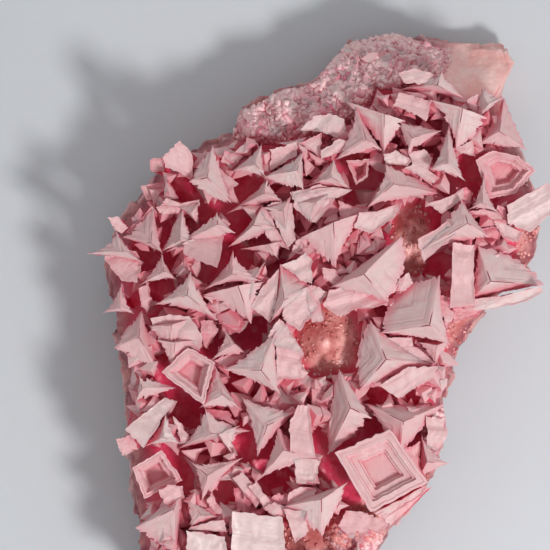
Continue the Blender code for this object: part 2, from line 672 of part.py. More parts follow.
def plate_cap(crystal, size, lift):
    """Middle and free edge of a plate crystal: a flat top that falls from its highest corner."""
    outline = crystal["outline"]
    middle_x = sum(x for x, _ in outline) / len(outline)
    middle_y = sum(y for _, y in outline) / len(outline)
    fall_x, fall_y = crystal["fall"]
    least = min(fall_x * x + fall_y * y for x, y in outline)
    top = crystal["height"] + lift + least

    def on_top(x, y):
        place_x = middle_x + (x - middle_x) * size
        place_y = middle_y + (y - middle_y) * size
        return to_world(place_x, place_y, top - fall_x * place_x - fall_y * place_y)

    rim = [on_top(x, y) for x, y in outline]
    area = sum(a.x * b.y - b.x * a.y for a, b in zip(rim, rim[1:] + rim[:1]))
    if area < 0:
        rim.reverse()
    return on_top(middle_x, middle_y), rim


def ring_towards(centre, rim, width, depth):
    """The rim drawn in to a share of its width and lowered by depth metres."""
    down = Vector((0, 0, depth))
    return [centre + (point - centre) * width - down for point in rim]


def plant_foot(name, rim, ground, clearance):
    """Foot of a crystal: its rim drawn in, slid towards the slab's middle until it lands on it."""
    middle = sum(rim, Vector()) / len(rim)
    inward = Vector((-middle.x, -middle.y, 0.0)).normalized() * MM
    for slide in range(FOOT_SLIDES):
        foot = []
        for point in rim:
            plan = middle + (point - middle) * FOOT_WIDTH + inward * slide
            hit = ground.ray_cast(Vector((plan.x, plan.y, 1.0)), Vector((0, 0, -1)))[0]
            if hit is not None and hit.z > FOOT_LOWEST * MM:
                foot.append(hit + Vector((0, 0, clearance * MM)))
        if len(foot) == len(rim):
            return foot
    raise ValueError(f"{name} has no slab below its foot")


def draw_waist(rim, foot):
    """Waist between rim and foot: half on the line between them, half straight below the rim."""
    middle = sum(rim, Vector()) / len(rim)
    share = (WAIST_WIDTH - FOOT_WIDTH) / (1 - FOOT_WIDTH)
    waist = []
    for point, landing in zip(rim, foot):
        on_line = landing.lerp(point, share)
        below = middle + (point - middle) * WAIST_WIDTH
        level = point.z + (landing.z - point.z) * WAIST_LEVEL
        waist.append(Vector(((on_line.x + below.x) / 2, (on_line.y + below.y) / 2, level)))
    return waist


def crystal_solid(name, crystal, ground, size=1.0, lift=0.0, clearance=GAP):
    """Cap, waist and foot of one crystal, closed below just clear of the slab."""
    is_star = "corner" in crystal
    centre, rim = (star_cap if is_star else plate_cap)(crystal, size, lift)
    count = len(rim)
    foot = plant_foot(name, rim, ground, clearance)
    waist = draw_waist(rim, foot)
    points = list(rim)
    faces = []
    if is_star:
        points.append(centre)
        faces += [(i, (i + 1) % count, count) for i in range(count)]
    elif crystal["pit"]:
        start = 0
        for width, depth in PIT_STEPS:
            points += ring_towards(centre, rim, width, depth * MM)
            faces += bridge(start, len(points) - count, count)
            start = len(points) - count
        faces.append(tuple(range(start, start + count)))
    else:
        faces.append(tuple(range(count)))
    waist_start = len(points)
    points += waist
    foot_start = len(points)
    points += foot
    faces += bridge(0, waist_start, count)
    faces += bridge(waist_start, foot_start, count)
    faces.append(tuple(range(foot_start, foot_start + count)))
    return solid(name, points, faces)


def grow(name, crystal, ground, neighbours, siblings):
    """Grow a crystal until its walls would touch the slab or a neighbour of another solid.

    A sibling of the same solid is one that it has to run through.
    """
    size = 1.0
    while size > SMALLEST_GROWTH:
        for lift, clearance in itertools.product(HEIGHT_TRIALS, FOOT_TRIALS):
            piece = crystal_solid(name, crystal, ground, size, lift, clearance)
            walls = surface_tree(piece)
            reach = swollen_tree(piece, GAP * MM)
            is_clear = not walls.overlap(ground) and not any(map(reach.overlap, neighbours))
            if is_clear and (not siblings or any(map(walls.overlap, siblings))):
                siblings.append(walls)
                return piece
            bpy.data.objects.remove(piece)
        size -= GROWTH_STEP
    raise ValueError(f"{name} has no room to grow")


def main():
    clear_scene()
    slab = make_slab()
    ledges = [make_ledge(ledge) for ledge in LEDGES]
    slab = unite("halite_slab", [slab, gather(ledges + druse_cubes(slab))], crossed=True)
    slab.data.materials.append(finish("massive_halite", SLAB_COLOUR, SLAB_ROUGH))
    ground = surface_tree(slab)
    clear_finish = finish("hopper_halite", CRYSTAL_COLOUR, CRYSTAL_ROUGH)
    frost_finish = finish("frosted_halite", FROST_COLOUR, FROST_ROUGH)
    walls = {name: [] for name in CRYSTALS}
    pieces = {name: [] for name in CRYSTALS}
    for table in (CRYSTALS, FILLERS):
        for name, crystals in table.items():
            neighbours = [tree for other in walls if other != name for tree in walls[other]]
            for crystal in crystals:
                pieces[name].append(grow(name, crystal, ground, neighbours, walls[name]))
    for name, grown in pieces.items():
        cluster = unite(name, grown)
        cluster.data.materials.append(frost_finish if name in FROSTED else clear_finish)


main()
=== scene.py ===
"""Pink hopper halite specimen: fine surfaces, materials, light and camera for a fixed frame.

Lengths in the tables are millimetres on a plan survey of the specimen: x runs right and y runs down
from the survey's corner, and heights are measured up from the flat underside.
"""

import itertools
import math

import bpy
import numpy as np
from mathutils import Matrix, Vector


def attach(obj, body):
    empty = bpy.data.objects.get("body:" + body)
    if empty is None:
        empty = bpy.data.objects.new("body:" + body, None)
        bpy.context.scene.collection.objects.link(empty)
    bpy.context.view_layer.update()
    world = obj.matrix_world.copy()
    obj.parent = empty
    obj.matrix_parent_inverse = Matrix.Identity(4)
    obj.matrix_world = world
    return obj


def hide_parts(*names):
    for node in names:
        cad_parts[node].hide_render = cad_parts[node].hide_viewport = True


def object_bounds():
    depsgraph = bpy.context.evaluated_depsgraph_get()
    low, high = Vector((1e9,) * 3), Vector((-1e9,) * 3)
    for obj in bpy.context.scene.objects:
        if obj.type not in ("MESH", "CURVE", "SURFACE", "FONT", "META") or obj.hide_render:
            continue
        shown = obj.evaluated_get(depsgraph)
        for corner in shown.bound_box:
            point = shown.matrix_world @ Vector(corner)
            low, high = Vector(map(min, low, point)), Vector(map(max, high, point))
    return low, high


bl_info = {
    "name": "Hopper Halite Specimen",
    "version": (1, 0, 0),
    "blender": (4, 5, 0),
    "location": "3D Viewport > Sidebar > Halite",
    "description": "Builds the fine surfaces, materials and stage of a hopper halite specimen",
    "category": "Add Mesh",
}

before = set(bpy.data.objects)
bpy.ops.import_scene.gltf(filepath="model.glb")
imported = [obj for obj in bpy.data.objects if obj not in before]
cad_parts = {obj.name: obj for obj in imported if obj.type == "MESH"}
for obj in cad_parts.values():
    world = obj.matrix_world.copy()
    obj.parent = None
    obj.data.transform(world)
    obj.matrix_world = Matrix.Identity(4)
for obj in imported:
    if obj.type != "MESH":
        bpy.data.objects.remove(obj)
SOLID_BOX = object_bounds()

MM = 0.001
PLAN_CENTRE = (81.5, 83.0)

# The slab: millimetres, and shares of the way from the plan's centre to the outline
SLAB_TOP = 24.0
SLAB_EDGE_FALL = 6.0
SLAB_EDGE_START = 0.7
SLAB_WALL_FLARE = 1.015
SLAB_BASE_TUCK = 0.975

# Broken cleavage of the slab's wall: sizes of the great and the small cubes, and how far crumble
# bends their lattice, millimetres
CLEAVAGE_CUBES = ((8.0, 8.0, 5.5), (3.2, 3.2, 2.4))
CLEAVAGE_BEND = 1.4

# Share of the wall's darkened colour, partly painted shade, that a patch of bare salmon halite
# takes away
SALMON_SHARE = 0.85

# How far out crystals may stand, where the outline is 1
GREAT_FOOT_LIMIT = 0.95
YOUNG_FOOT_LIMIT = 0.96
YOUNG_LIMIT = 0.98
DRUSE_LIMIT = 0.985

# Crystal proportions, as shares of the rim's width and height
FOOT_WIDTH = 0.35
WAIST_WIDTH = 0.55
WAIST_LEVEL = 0.55
ARM_FLATNESS = 1.5
STEEPEST_ARM = 1.5
FLATTEST_ARM = 3.0
GROOVE_REACHES = (0.6, 0.4, 0.15)

# Terraces of a hopper face: where the first and last risers lie between an arm and the free edge,
# how far chance moves one, half a riser's width, the range of its height as shares of the mean
# height, and how much a riser's height wanders along it
TERRACE_SPAN = (0.16, 0.86)
TERRACE_SHIFT = 0.05
RISER_HALF = 0.012
RISER_HEIGHTS = (0.4, 1.3)
RISER_WANDER = 0.35

# Stepped walls: the shares of one step's fall and inset that its riser takes, and the most that
# the first riser takes of the whole wall's
RISER_FALL = 0.78
RISER_INSET = 0.2
FIRST_FALL = 0.09
FIRST_INSET = 0.015

# Nicks in a free edge: a band's and a line's share of the full depth, a plate's share of it, and
# the most that a nick takes of a growth line and of a plate's half width
BAND_NICK = 0.65
LINE_NICK = 0.55
PLATE_NICK = 0.28
LINE_NICK_LIMIT = 0.45
PLATE_NICK_LIMIT = 0.4

# Sizes of chance relief, and the depth of the growth lines on a plate, millimetres
FACE_GRAIN = 1.4
WALL_GRAIN = 2.2
NICK_GRAIN = 1.3
RISER_GRAIN = 3.0
PLATE_LINE_GRAIN = 2.0
PLATE_LINE_DEPTH = 0.35

# How far a face lies from the next in the layers' count, so that their lines differ, millimetres
FACE_SHIFT = 31.7
WALL_SHIFT = 120

# Rings of a stepped pit: share of the crystal's size, and depth in millimetres
PIT_STEPS = ((0.80, 0.15), (0.76, 0.1), (0.74, 0.9), (0.68, 1.0), (0.66, 1.9), (0.50, 2.1),
             (0.48, 3.2), (0.42, 3.4), (0.40, 4.6))

# Half size of the ground that young crystals leave clear at a stepped pit, as a share of the
# crystal's size, and the share of every pit and cleft that stays clear
PIT_REACH = 0.55
CLEAR_SHARE = 0.82

# Young crystals: proportions of the rim's width and height, and millimetres over the slab
YOUNG_LEAN = (0.25, 0.25, 0.0)
YOUNG_DROOP = 0.45
YOUNG_WAIST = 0.5
YOUNG_FOOT = 0.45
YOUNG_SINK = 1.5
YOUNG_RISE = (5.0, 10.5)
YOUNG_RIM_RISE = 3.5

# Heaps of the sugary druse, millimetres
HEAP_HEIGHT = 2.3
HEAP_SWELL = 3.0
HEAP_GRAIN = 5.0
DRUSE_SINK = 0.3
FLAKE_RISE = 1.0

# Angles past which an edge stays crisp, degrees
CRYSTAL_CREASE = 22
SLAB_CREASE = 40

# Reach of the walls that shade a hollow, for the painted shade and glow of the materials, metres
FACE_HOLLOW = 0.006
SLAB_HOLLOW = 0.012
DRUSE_HOLLOW = 0.003
HOLLOW_SAMPLES = 6

# Patterns, repeats per millimetre: clouds of frost 2.5 mm across, growth lines about 0.7 mm apart
# with finer ones between, grains of massive halite 1.5 mm across, clouds of 4.5 mm and specks of
# 0.8 mm in it, clouds of 1.1 mm in the druse and of 110 mm in the board.  Real etch pits are 0.05
# to 0.2 mm wide and are drawn at 0.4 mm, so that they show.
FROST_CLOUDS = 0.4
ETCH_PITS = 2.6
GROWTH_LINES = 1.4
SLAB_GRAINS = 0.65
SLAB_CLOUDS = 0.22
SLAB_SPECKS = 1.3
DRUSE_CLOUDS = 0.9
BOARD_CLOUDS = 0.009

# Light and camera: metres, watts for the lamp
LAMP_FROM = (0.41, -0.41, 0.814)
LAMP_DISTANCE = 0.66
LAMP_POWER = 3.1
LAMP_WIDTH = 0.11
ROOM_COLOUR = (0.97, 0.98, 1.0, 1.0)
ROOM_STRENGTH = 0.65
BOARD_HALF = 2.0
CAMERA_HEIGHT = 1.3
CAMERA_END = 10.0
VIEW_LEVEL = 0.036
VIEW_CENTRE = (-0.01275, 0.01425)
VIEW_WIDTH = 0.1375
SENSOR_MM = 36.0

# Slab outline, clockwise on the survey from the western end of the northern edge
SLAB_OUTLINE = (
    (58, 33), (60, 28), (64.5, 24.5), (70.5, 22), (78, 20), (83, 15.5), (87, 10), (94, 7.5),
    (101, 7), (110, 10), (119, 10.5), (127, 10.5), (128.5, 14), (130, 15.5), (127.5, 19),
    (125.5, 23), (128, 28), (130, 37.5), (133.5, 45), (136, 54), (135, 64), (130, 71),
    (123, 76), (117.5, 84), (114, 91), (111.5, 100), (111.5, 107.5), (110.5, 116),
    (107, 122.5), (103, 127.5), (98, 132.5), (94.5, 138), (93, 145), (88, 151.5),
    (79.5, 155.5), (69.5, 157.5), (58, 157), (48, 154.5), (40, 150), (35.5, 144), (34, 137),
    (34, 132.5), (33, 125), (32.5, 115), (31.5, 107.5), (31, 100), (31, 95), (29, 86),
    (28, 80), (27, 75), (26, 65.5), (29.5, 56), (35.5, 47.5), (40, 41), (46, 37.5), (54, 35),
)

# Swells and hollows of the slab's top: x, y, radius, height
SWELLS = (
    (72, 27, 9, 2),
    (84, 24, 8, 2),
    (96, 16, 9, 3),
    (106, 13, 7, 1),
    (86, 11, 6, -5),
    (95, 7, 8, -7),
    (105, 8, 8, -7),
    (115, 10.5, 7, -5.5),
    (126, 11, 8, -5.5),
    (120, 17, 10, -4),
    (81, 85, 6, 5),
    (103, 60, 6, 4),
    (79, 137, 7, 4),
    (37, 65, 5, -3),
    (56, 62, 5, -3),
    (107, 66, 5, -3),
    (64, 82, 5, -3),
    (47, 105, 5, -3),
    (70, 119, 5, -3),
    (92, 100, 4, -2),
    (88, 137, 6, 3),
)

# Patches of the slab: x, y, half width, half height
SUGAR_PATCHES = ((69, 28, 14, 7), (85, 20, 8, 10), (98, 13, 14, 8), (89, 134, 7, 5),
                 (109.5, 107, 4, 4))
SALMON_PATCHES = ((121, 16, 13, 9),)
GRAIN_PATCHES = ((82, 85, 8, 9), (103, 60, 5, 9), (79, 135, 11, 5), (134, 62, 4, 8),
                 (108, 122, 6, 6), (117, 84, 5, 6), (133, 40, 5, 6), (92, 131, 6, 5),
                 (127, 73, 6, 4))

# Clefts that stay open between the crystals: x, y, half width, half height
CLEFTS = (
    (45, 46.8, 2.2, 2.5), (41.8, 55, 1.7, 2), (41.3, 58.8, 1, 1.3), (33.3, 60.3, 1.8, 0.8),
    (36.8, 65, 2.5, 2.5), (42.3, 65.8, 1.5, 1.8), (48.3, 58.5, 1.3, 1.3), (51.8, 53.5, 2.3, 2),
    (56.3, 61.3, 1.5, 3), (51.8, 68.8, 3, 2.3), (40, 71.8, 3.5, 1.8), (32.3, 71.3, 1.3, 2),
    (61.3, 46.3, 3.3, 2.3), (57.5, 52, 2, 2.5), (60, 55.5, 2, 2.5), (70.5, 47.5, 2.5, 1.8),
    (78.3, 42, 2, 2), (84.5, 40.3, 1.5, 1.8), (92, 41.8, 1.5, 1), (94, 44.5, 1.5, 2),
    (91.5, 48.8, 2, 2), (85.8, 49.3, 2.5, 1), (74.8, 56.8, 1.8, 1.8), (66.3, 59, 1.5, 1.3),
    (62.5, 51.8, 2, 1), (57, 62.5, 2.5, 3), (61.3, 63.8, 3, 1.5), (71.3, 63.8, 1, 2),
    (68.5, 67, 1.5, 2), (79.5, 67.5, 1.3, 3), (81.3, 71.5, 1.5, 1.3), (64.5, 81.3, 3, 2.5),
    (62, 85, 2.5, 2.5), (93, 78, 4.5, 1.5), (88.8, 91.3, 1.8, 1.5), (61.3, 97, 2, 2),
    (67, 97, 2, 1.5), (95, 98.8, 2.5, 2), (102, 98.8, 1.5, 1.5), (110, 65.5, 3, 3),
    (105, 67, 3.8, 1.5), (111.3, 72.5, 1.3, 1.5), (105, 85.5, 1.5, 1.3), (107.5, 36.3, 1.5, 2.5),
    (106.3, 40.8, 0.8, 1), (112, 31.5, 1.3, 1.8), (116.8, 41.3, 2, 2.5), (119.3, 37, 0.8, 2),
    (113.8, 47, 4.5, 1.5), (119.5, 48, 0.8, 1.5), (108, 55, 3, 2.8), (120.8, 55.3, 2, 1),
    (105.3, 28.5, 1.3, 1.3), (94, 32.5, 1, 2.5), (98.5, 35, 0.8, 2), (92.5, 24.3, 1.8, 1),
    (97, 26, 2, 0.8), (33.8, 75, 1.3, 3), (31.3, 79.5, 2.3, 1.8), (36.8, 80.5, 1.8, 1.3),
    (38.8, 75, 1, 3), (43.8, 77.8, 2.3, 0.8), (52.8, 84.3, 1.5, 2.5), (40, 87, 1.3, 1.3),
    (41.3, 90, 1.3, 2), (38.3, 92.8, 1.5, 1), (59.5, 96.3, 2, 2), (46.3, 103.8, 3.8, 3.5),
    (57, 103.8, 2.5, 1.5), (52.5, 113, 4.5, 1.5), (61.3, 111, 2.5, 3.5), (45, 117.5, 1.5, 4.5),
    (46.8, 120, 2, 2.5), (36.3, 113, 3, 1.3), (56.3, 122.5, 2, 2.5), (45.8, 128.8, 0.8, 2.5),
    (80, 111.3, 1.8, 4), (68.8, 117.5, 3, 3.5), (66.3, 121.3, 2, 2.5), (81.3, 118.3, 1.3, 1.8),
    (84.3, 115, 1, 1.5), (88, 124.3, 1.5, 2), (93.8, 106.3, 2, 2), (78.8, 103.3, 1, 1.5),
    (67, 110, 1.5, 2.5), (63, 110, 1, 2.5), (75, 96.3, 2.5, 1), (28, 67.5, 1.3, 2),
)


def star(corner, first, second, third, web=0.85, tone=None):
    """A cube corner that points up: corner (x, y, height), three arm tips (x, y).

    web shapes the faces' free edges: under 1 they hang in, at 1 they run straight between the
    tips, over 1 they bulge out towards the full square face.  It is one value or one a face.
    tone runs from -1, thick frost, over 1, little frost, to 3, bare; without it chance picks one.
    The tables give the high tones mostly to low crystals in their neighbours' shade, so a tone is
    partly painted shade.
    """
    webs = web if isinstance(web, tuple) else (web, web, web)
    return {"corner": corner, "tips": (first, second, third), "webs": webs, "tone": tone}


def plate(height, fall, *outline, pit=False, tone=None):
    """A crystal that shows one face: height of its highest point, fall per millimetre (x, y)."""
    return {"height": height, "fall": fall, "outline": outline, "pit": pit, "tone": tone}


# Low blocks grown into the slab, read like the plates below
LEDGES = (
    plate(31, (0.1, 0.1), (37, 39.5), (41, 39), (41, 42.8), (37.5, 43)),
    plate(32, (0.2, 0.1), (34.8, 46.3), (41, 45.3), (41.3, 50), (36.3, 50)),
    plate(34, (0.1, 0.1), (56, 37.3), (61, 38.8), (58, 42.3), (55, 40.5)),
    plate(31, (0.05, 0.05), (70.5, 97.5), (77, 97.5), (76.5, 101), (71, 101)),
    plate(31, (0.1, 0.05), (77.8, 97), (81.2, 98), (81.5, 105.5), (78, 108)),
    plate(31, (0.1, 0.05), (85.5, 60), (89.5, 58.5), (89.5, 63), (86, 66)),
    plate(31, (0.05, 0.1), (80.5, 66.5), (85, 66), (85.5, 71), (81, 71.5)),
    plate(31, (0.05, 0.1), (98.5, 70), (102.5, 68.3), (103.5, 72), (99.5, 74)),
    plate(30, (0.1, 0.05), (49.7, 80), (54.3, 80.5), (53, 86), (50.5, 86)),
    plate(31, (0.05, 0.1), (54.5, 80), (60, 79), (61.5, 81), (57.5, 84)),
    plate(32, (0.1, 0.05), (113, 76.5), (121.5, 76.2), (120, 79), (113.5, 80.5)),
    plate(31, (0.05, 0.05), (72.3, 122.3), (77, 121.8), (78.5, 124.5), (73, 126)),
    plate(36, (0.05, 0.05), (73.5, 116.8), (79, 117), (79.3, 121.5), (74, 121)),
    plate(31, (0.1, 0.1), (108, 122), (103, 127.5), (97.5, 132), (95.5, 129.5), (104, 122.5)),
)

# Hopper crystals, one entry a solid: crystals in one entry have grown together
CRYSTALS = {
    "hopper_nw_crown": (
        star((51.8, 44.5, 42), (53.3, 36.5), (47.3, 45.5), (58, 51), web=(1.4, 1.8, 1.2)),
        plate(42, (0.25, 0.35), (45, 35.3), (47.5, 36.8), (48.3, 39.5), (48.3, 45), (41.3, 42),
              (40.5, 39.5), (43, 36.8)),
        plate(38.5, (-0.3, 0.2), (54.3, 41.5), (59.8, 46), (56.5, 49), (53.5, 45)),
        plate(37, (0, 0.2), (40, 51.5), (41.5, 49.5), (45.2, 50.8), (50.2, 49.8), (50, 51.5),
              (45, 52.2), tone=0.5),
    ),
    "hopper_nw_wedge": (
        plate(36, (0.2, -0.2), (41.8, 44.3), (41.3, 49.8), (45, 49.8)),
    ),
    "hopper_w_point": (
        star((30.8, 62.8, 39), (21.8, 63.5), (35.8, 65.8), (29, 58), web=(0.9, 0.9, 0.8)),
        plate(37.5, (0.1, -0.3), (25.5, 64.5), (29.5, 62), (34, 62.5), (35.8, 66), (34.3, 70.8),
              (30.5, 70.3)),
        plate(34, (0, 0.1), (31, 58.2), (35, 54.5), (38.2, 51.2), (39.8, 53.8), (34, 59.2),
              tone=1.2),
    ),
    "hopper_w_finger": (
        plate(36, (0.3, 0.2), (26.8, 54.3), (29.5, 53.8), (32, 57), (30.5, 58.5), (28, 57)),
    ),
    "hopper_w_brim": (
        star((37.8, 60.8, 38), (30.5, 59.3), (38.5, 51.5), (40.8, 63.3), web=(1.0, 0.9, 0.9)),
    ),
    "hopper_w_crest": (
        star((45, 60, 38.5), (45.8, 50.8), (40, 63), (49.3, 61), web=(1.1, 0.75, 0.75)),
        star((47.5, 53.3, 38), (43, 50.5), (50, 50.5), (49.8, 56.5), web=1.0),
        plate(36, (0.05, 0.2), (38.8, 51.8), (44, 50.6), (48, 50.6), (46, 53.5), (40.5, 54)),
        star((54.5, 56, 41), (54.3, 53), (59, 58.3), (41.5, 63), web=(0.9, 1.0, 0.9)),
        plate(40.8, (0.1, -0.5), (53.5, 56), (56.5, 57.5), (54.5, 67.3), (46, 64), (45.5, 61)),
    ),
    "hopper_w_sliver": (
        star((41, 67.8, 36), (40.3, 63), (34.5, 71.5), (44.3, 70), web=0.8),
    ),
    "hopper_w_trident": (
        star((46.8, 73.8, 39), (47.8, 67.8), (38.8, 76), (54.3, 79.8), web=0.85),
        star((46, 67, 35), (46, 62.8), (43.8, 69.5), (48, 68.5), web=1.2),
    ),
    "hopper_w_fin": (
        star((30, 76.8, 37), (30.3, 70.8), (25.5, 78.3), (33.5, 78.5), web=0.85),
        plate(33, (0.05, 0.1), (33.5, 68.2), (37.8, 67.5), (38.8, 69.5), (35.8, 71), tone=1.2),
        plate(34, (0.05, 0.05), (34.5, 71.8), (37, 71), (38, 75), (36.8, 78), (35, 77), tone=1.3),
    ),
    "hopper_w_shell": (
        star((34.8, 84.3, 38), (35.3, 77.8), (28.5, 87), (39.5, 92.8), web=(1.35, 1.1, 1.5)),
    ),
    "hopper_w_square": (
        plate(38, (0.1, -0.1), (40, 93), (47, 86.5), (54, 90.5), (51, 101.5), pit=True),
        star((43.8, 85.5, 38), (39, 85), (50.8, 85), (43, 93.8), web=0.8),
        star((42.8, 81.3, 38), (37, 81.5), (49, 79.3), (43, 86.5), web=1.3),
        plate(36, (0.05, 0.05), (37.5, 79.5), (42.5, 78.5), (47.5, 79), (51.2, 84.5), (50, 88),
              (44.5, 85.5), (40, 86.5), tone=0.2),
        plate(35, (0.05, 0.05), (50.8, 94.8), (53.5, 91.2), (55.8, 95), (53.5, 98.5),
              (51.2, 101.2), tone=0.6),
    ),
    "hopper_w_kite": (
        star((55.5, 98.5, 38.5), (53.5, 90.8), (49.8, 102), (60.5, 102.5), web=0.85),
    ),
    "hopper_w_club": (
        star((35.5, 97, 38), (34.8, 94), (34, 100.5), (44, 97), web=1.2),
    ),
    "slab_w_white": (
        plate(39, (0.15, -0.25), (41.5, 99), (43.8, 100.3), (36, 112), (31, 107.5), (35, 104)),
        star((40.8, 109.3, 37.5), (41.5, 102.3), (36, 111.8), (45.3, 111), web=0.8),
        plate(34, (0.1, 0.05), (43, 103.8), (45.5, 106), (47.2, 108.8), (48.2, 110.8),
              (45.2, 111.2), (44, 107.5), tone=1.2),
        plate(32, (0.1, 0.1), (32, 103), (35, 99.5), (39.5, 97.8), (41, 99), (35.5, 104),
              (31.5, 107), tone=1),
    ),
    "block_w_small": (
        plate(34, (0.15, 0.1), (28.8, 109.8), (33.3, 108.5), (34.5, 112.5), (30.3, 114.5)),
    ),
    "hopper_w_ragged": (
        star((52.8, 108.3, 38.5), (44.5, 112.3), (51.3, 102), (62.8, 107.8),
             web=(0.8, 0.8, 1.2)),
        star((54.5, 108.5, 37.5), (51, 106), (60, 106.5), (58, 113.3), web=1.0),
        plate(34, (0.05, 0.1), (45, 112.8), (52, 111.8), (49.8, 113.5), (48.8, 116), tone=1.1),
        plate(34, (0, -0.25), (51, 102.2), (57, 102.8), (60, 107.5), (56.2, 105.2), (52.5, 104.8),
              tone=2),
    ),
    "hopper_sw_wing": (
        star((43.5, 127, 38), (33.5, 132.3), (45.5, 121.8), (44, 138.5), web=(1.0, 1.5, 1.1)),
        plate(38, (0.1, 0.1), (39.5, 122.5), (42, 121), (45.8, 121.3), (46.2, 124.5), (41, 126.5)),
        plate(35, (0.15, 0.1), (32.8, 117), (40.5, 112.3), (46, 120.3), (35.8, 125), pit=True),
    ),
    "hopper_sw_fork": (
        star((51.8, 118.8, 38), (60.8, 114.5), (47.8, 115.5), (50.5, 125.5), web=0.85),
        plate(33, (0, 0.1), (46.5, 124), (49.5, 122), (50.5, 125), (52, 127.2), (49, 126.5),
              tone=1.4),
        plate(34, (0.05, 0.05), (51.2, 125.2), (52.8, 123), (54.8, 126.2), (56.8, 129.2),
              (53.5, 128.5), tone=1.4),
    ),
    "hopper_sw_rose": (
        star((50.3, 128.8, 36), (46.5, 124.3), (55.5, 129.5), (47.5, 132), web=1.0),
        plate(35.5, (0, 0.1), (47.5, 131.8), (53, 130.2), (56, 130), (57.2, 133.2), (46.8, 132.5),
              tone=0.1),
    ),
    "slats_sw": (
        plate(36, (0.05, -0.1), (58, 119.5), (60.5, 118), (66.5, 124), (64, 127)),
        plate(37, (0.05, -0.1), (62, 121.5), (64, 120), (69, 127), (66.5, 128)),
        plate(32, (0.05, 0.05), (58.2, 122), (60, 121.5), (63.2, 126), (62.2, 128), (59, 128),
              tone=2),
    ),
    "slab_s_pale": (
        plate(37, (0.1, 0.1), (46.5, 132.5), (56.5, 134), (57, 140.5), (46.5, 140.5)),
    ),
    "block_s_frosted": (
        plate(38, (0.05, 0.1), (58, 127.5), (71, 129), (72, 144.5), (57.5, 143.5)),
    ),
    "hopper_n_reef": (
        star((74.3, 42.5, 39), (75.8, 37.8), (65.5, 44.3), (76, 48), web=(0.9, 1.1, 1.1)),
        star((63.8, 41, 38), (65.5, 35.8), (57.3, 43), (66.5, 44.3), web=0.9),
        plate(35, (0.1, 0.2), (67.3, 37.3), (74.3, 35.3), (74.5, 39), (67.3, 42.8)),
        star((66, 48.3, 37), (56.3, 53.5), (66.8, 44.5), (70.8, 50.3), web=0.9),
        star((70.8, 52.8, 38), (73, 48.5), (65.5, 51.8), (72, 62.5), web=(0.75, 0.75, 1.5)),
        star((79, 50.5, 38), (72.5, 50.8), (84.8, 46.5), (77.5, 56), web=1.0),
        plate(36.5, (0.05, 0.1), (73, 48), (80, 46), (84.8, 47), (84, 50), (79, 56.3), (73.3, 52)),
        star((82.8, 44.3, 38), (83.5, 39.5), (88, 47.5), (75.8, 47), web=0.9),
        plate(35, (0.05, 0.05), (74.2, 35.2), (76.8, 37), (77.2, 40), (79, 42), (76.5, 44.2),
              (75.8, 40), tone=0.6),
        plate(36.5, (0, 0.1), (72, 48), (75.8, 47.2), (84.5, 46.8), (88.2, 47.5), (84.5, 49.5),
              (75, 51), (73, 49.8), tone=0.4),
        plate(35, (0.05, 0.05), (84.5, 50), (87.5, 51), (92.8, 51.8), (89.8, 57.2), (85, 56.5),
              tone=0.8),
        plate(36, (0.05, 0.05), (66.5, 51), (70.5, 50), (73.2, 50.8), (74, 60), (72, 62),
              (69, 56.5), (67.5, 53.5), tone=0.3),
        plate(35, (0, 0.1), (73.5, 60), (78, 59), (81.5, 59.5), (85.5, 61.5), (84.5, 64.5),
              (81, 62.5), (76.5, 64), (73, 63), tone=0.4),
    ),
    "hopper_c_spread": (
        star((63.3, 56.3, 37), (65.8, 51), (57, 61.8), (69.5, 57), web=(0.9, 1.3, 1.2)),
        plate(35, (0.05, 0.05), (65.5, 51.5), (67.5, 53), (69.2, 57), (72.5, 62.5), (70, 61.8),
              (67, 60), (64.5, 55.5), tone=0.8),
    ),
    "hopper_c_shard": (
        star((67, 61, 36), (60, 62.3), (69.8, 65), (71.5, 60), web=0.8),
    ),
    "hopper_n_crest": (
        star((91.5, 35, 40), (89, 26.5), (84, 40), (95.5, 37.5), web=0.9),
        star((96, 28.5, 39.5), (86.5, 25.3), (101.5, 30.3), (96, 38), web=1.0),
        plate(37, (0.1, 0.1), (80, 37.8), (85, 34.3), (87, 35.3), (86, 38), (80, 40)),
        plate(36, (0.0, 0.1), (80.5, 33), (74.8, 35.8), (80.5, 40)),
        star((103, 34.5, 39), (99.5, 30), (110.3, 32.8), (102, 38.5), web=1.1),
        plate(35.5, (0.05, 0.05), (102, 38.2), (106.2, 37), (108.2, 39.5), (107.2, 42.5),
              (110, 44.5), (108.5, 46), (105, 44.2), (101, 42), (103, 40.8), tone=0.3),
        plate(34.5, (0.05, 0.05), (75, 32.5), (78, 29), (82.5, 28.2), (86.2, 29.5), (86.8, 33),
              (84.5, 34.5), (80.5, 33.2), tone=-1.2),
        plate(34.5, (0.05, 0.1), (76.5, 37.5), (80.5, 39.5), (82.5, 40.5), (79, 41.5), tone=0.4),
    ),
    "hopper_n_ring": (
        plate(34.5, (0.1, 0.1), (86.5, 40), (92.5, 39.5), (92, 44.5), (89, 46.5), pit=True),
    ),
    "block_n_white": (
        plate(36, (0.05, 0.1), (95.8, 38.5), (99, 37.5), (103.3, 40), (102, 41.5), (96, 41)),
    ),
    "hopper_e_great": (
        star((98.3, 46, 40), (91.8, 51.8), (96.3, 41), (110.3, 48.5), web=(0.8, 1.6, 0.9)),
    ),
    "hopper_ne_gable": (
        star((109.3, 21.3, 37), (110.5, 18), (99.5, 22.3), (116.5, 24.8), web=1.0),
    ),
    "hopper_ne_frame": (
        star((115.5, 27, 40), (107, 24.8), (121.8, 29.5), (114, 37.5), web=(1.5, 1.3, 0.8)),
        plate(36.5, (0.1, 0.1), (99.5, 22.8), (104, 24), (108, 25.3), (107, 30.5), (101.5, 27.8),
              (98.3, 26.5)),
        plate(35, (0.1, 0.1), (113.5, 37), (118.3, 34.8), (118.8, 39), (115, 38.8)),
        star((111.8, 40.8, 41), (112.3, 31), (116.3, 45.3), (107.5, 42.5), web=0.9),
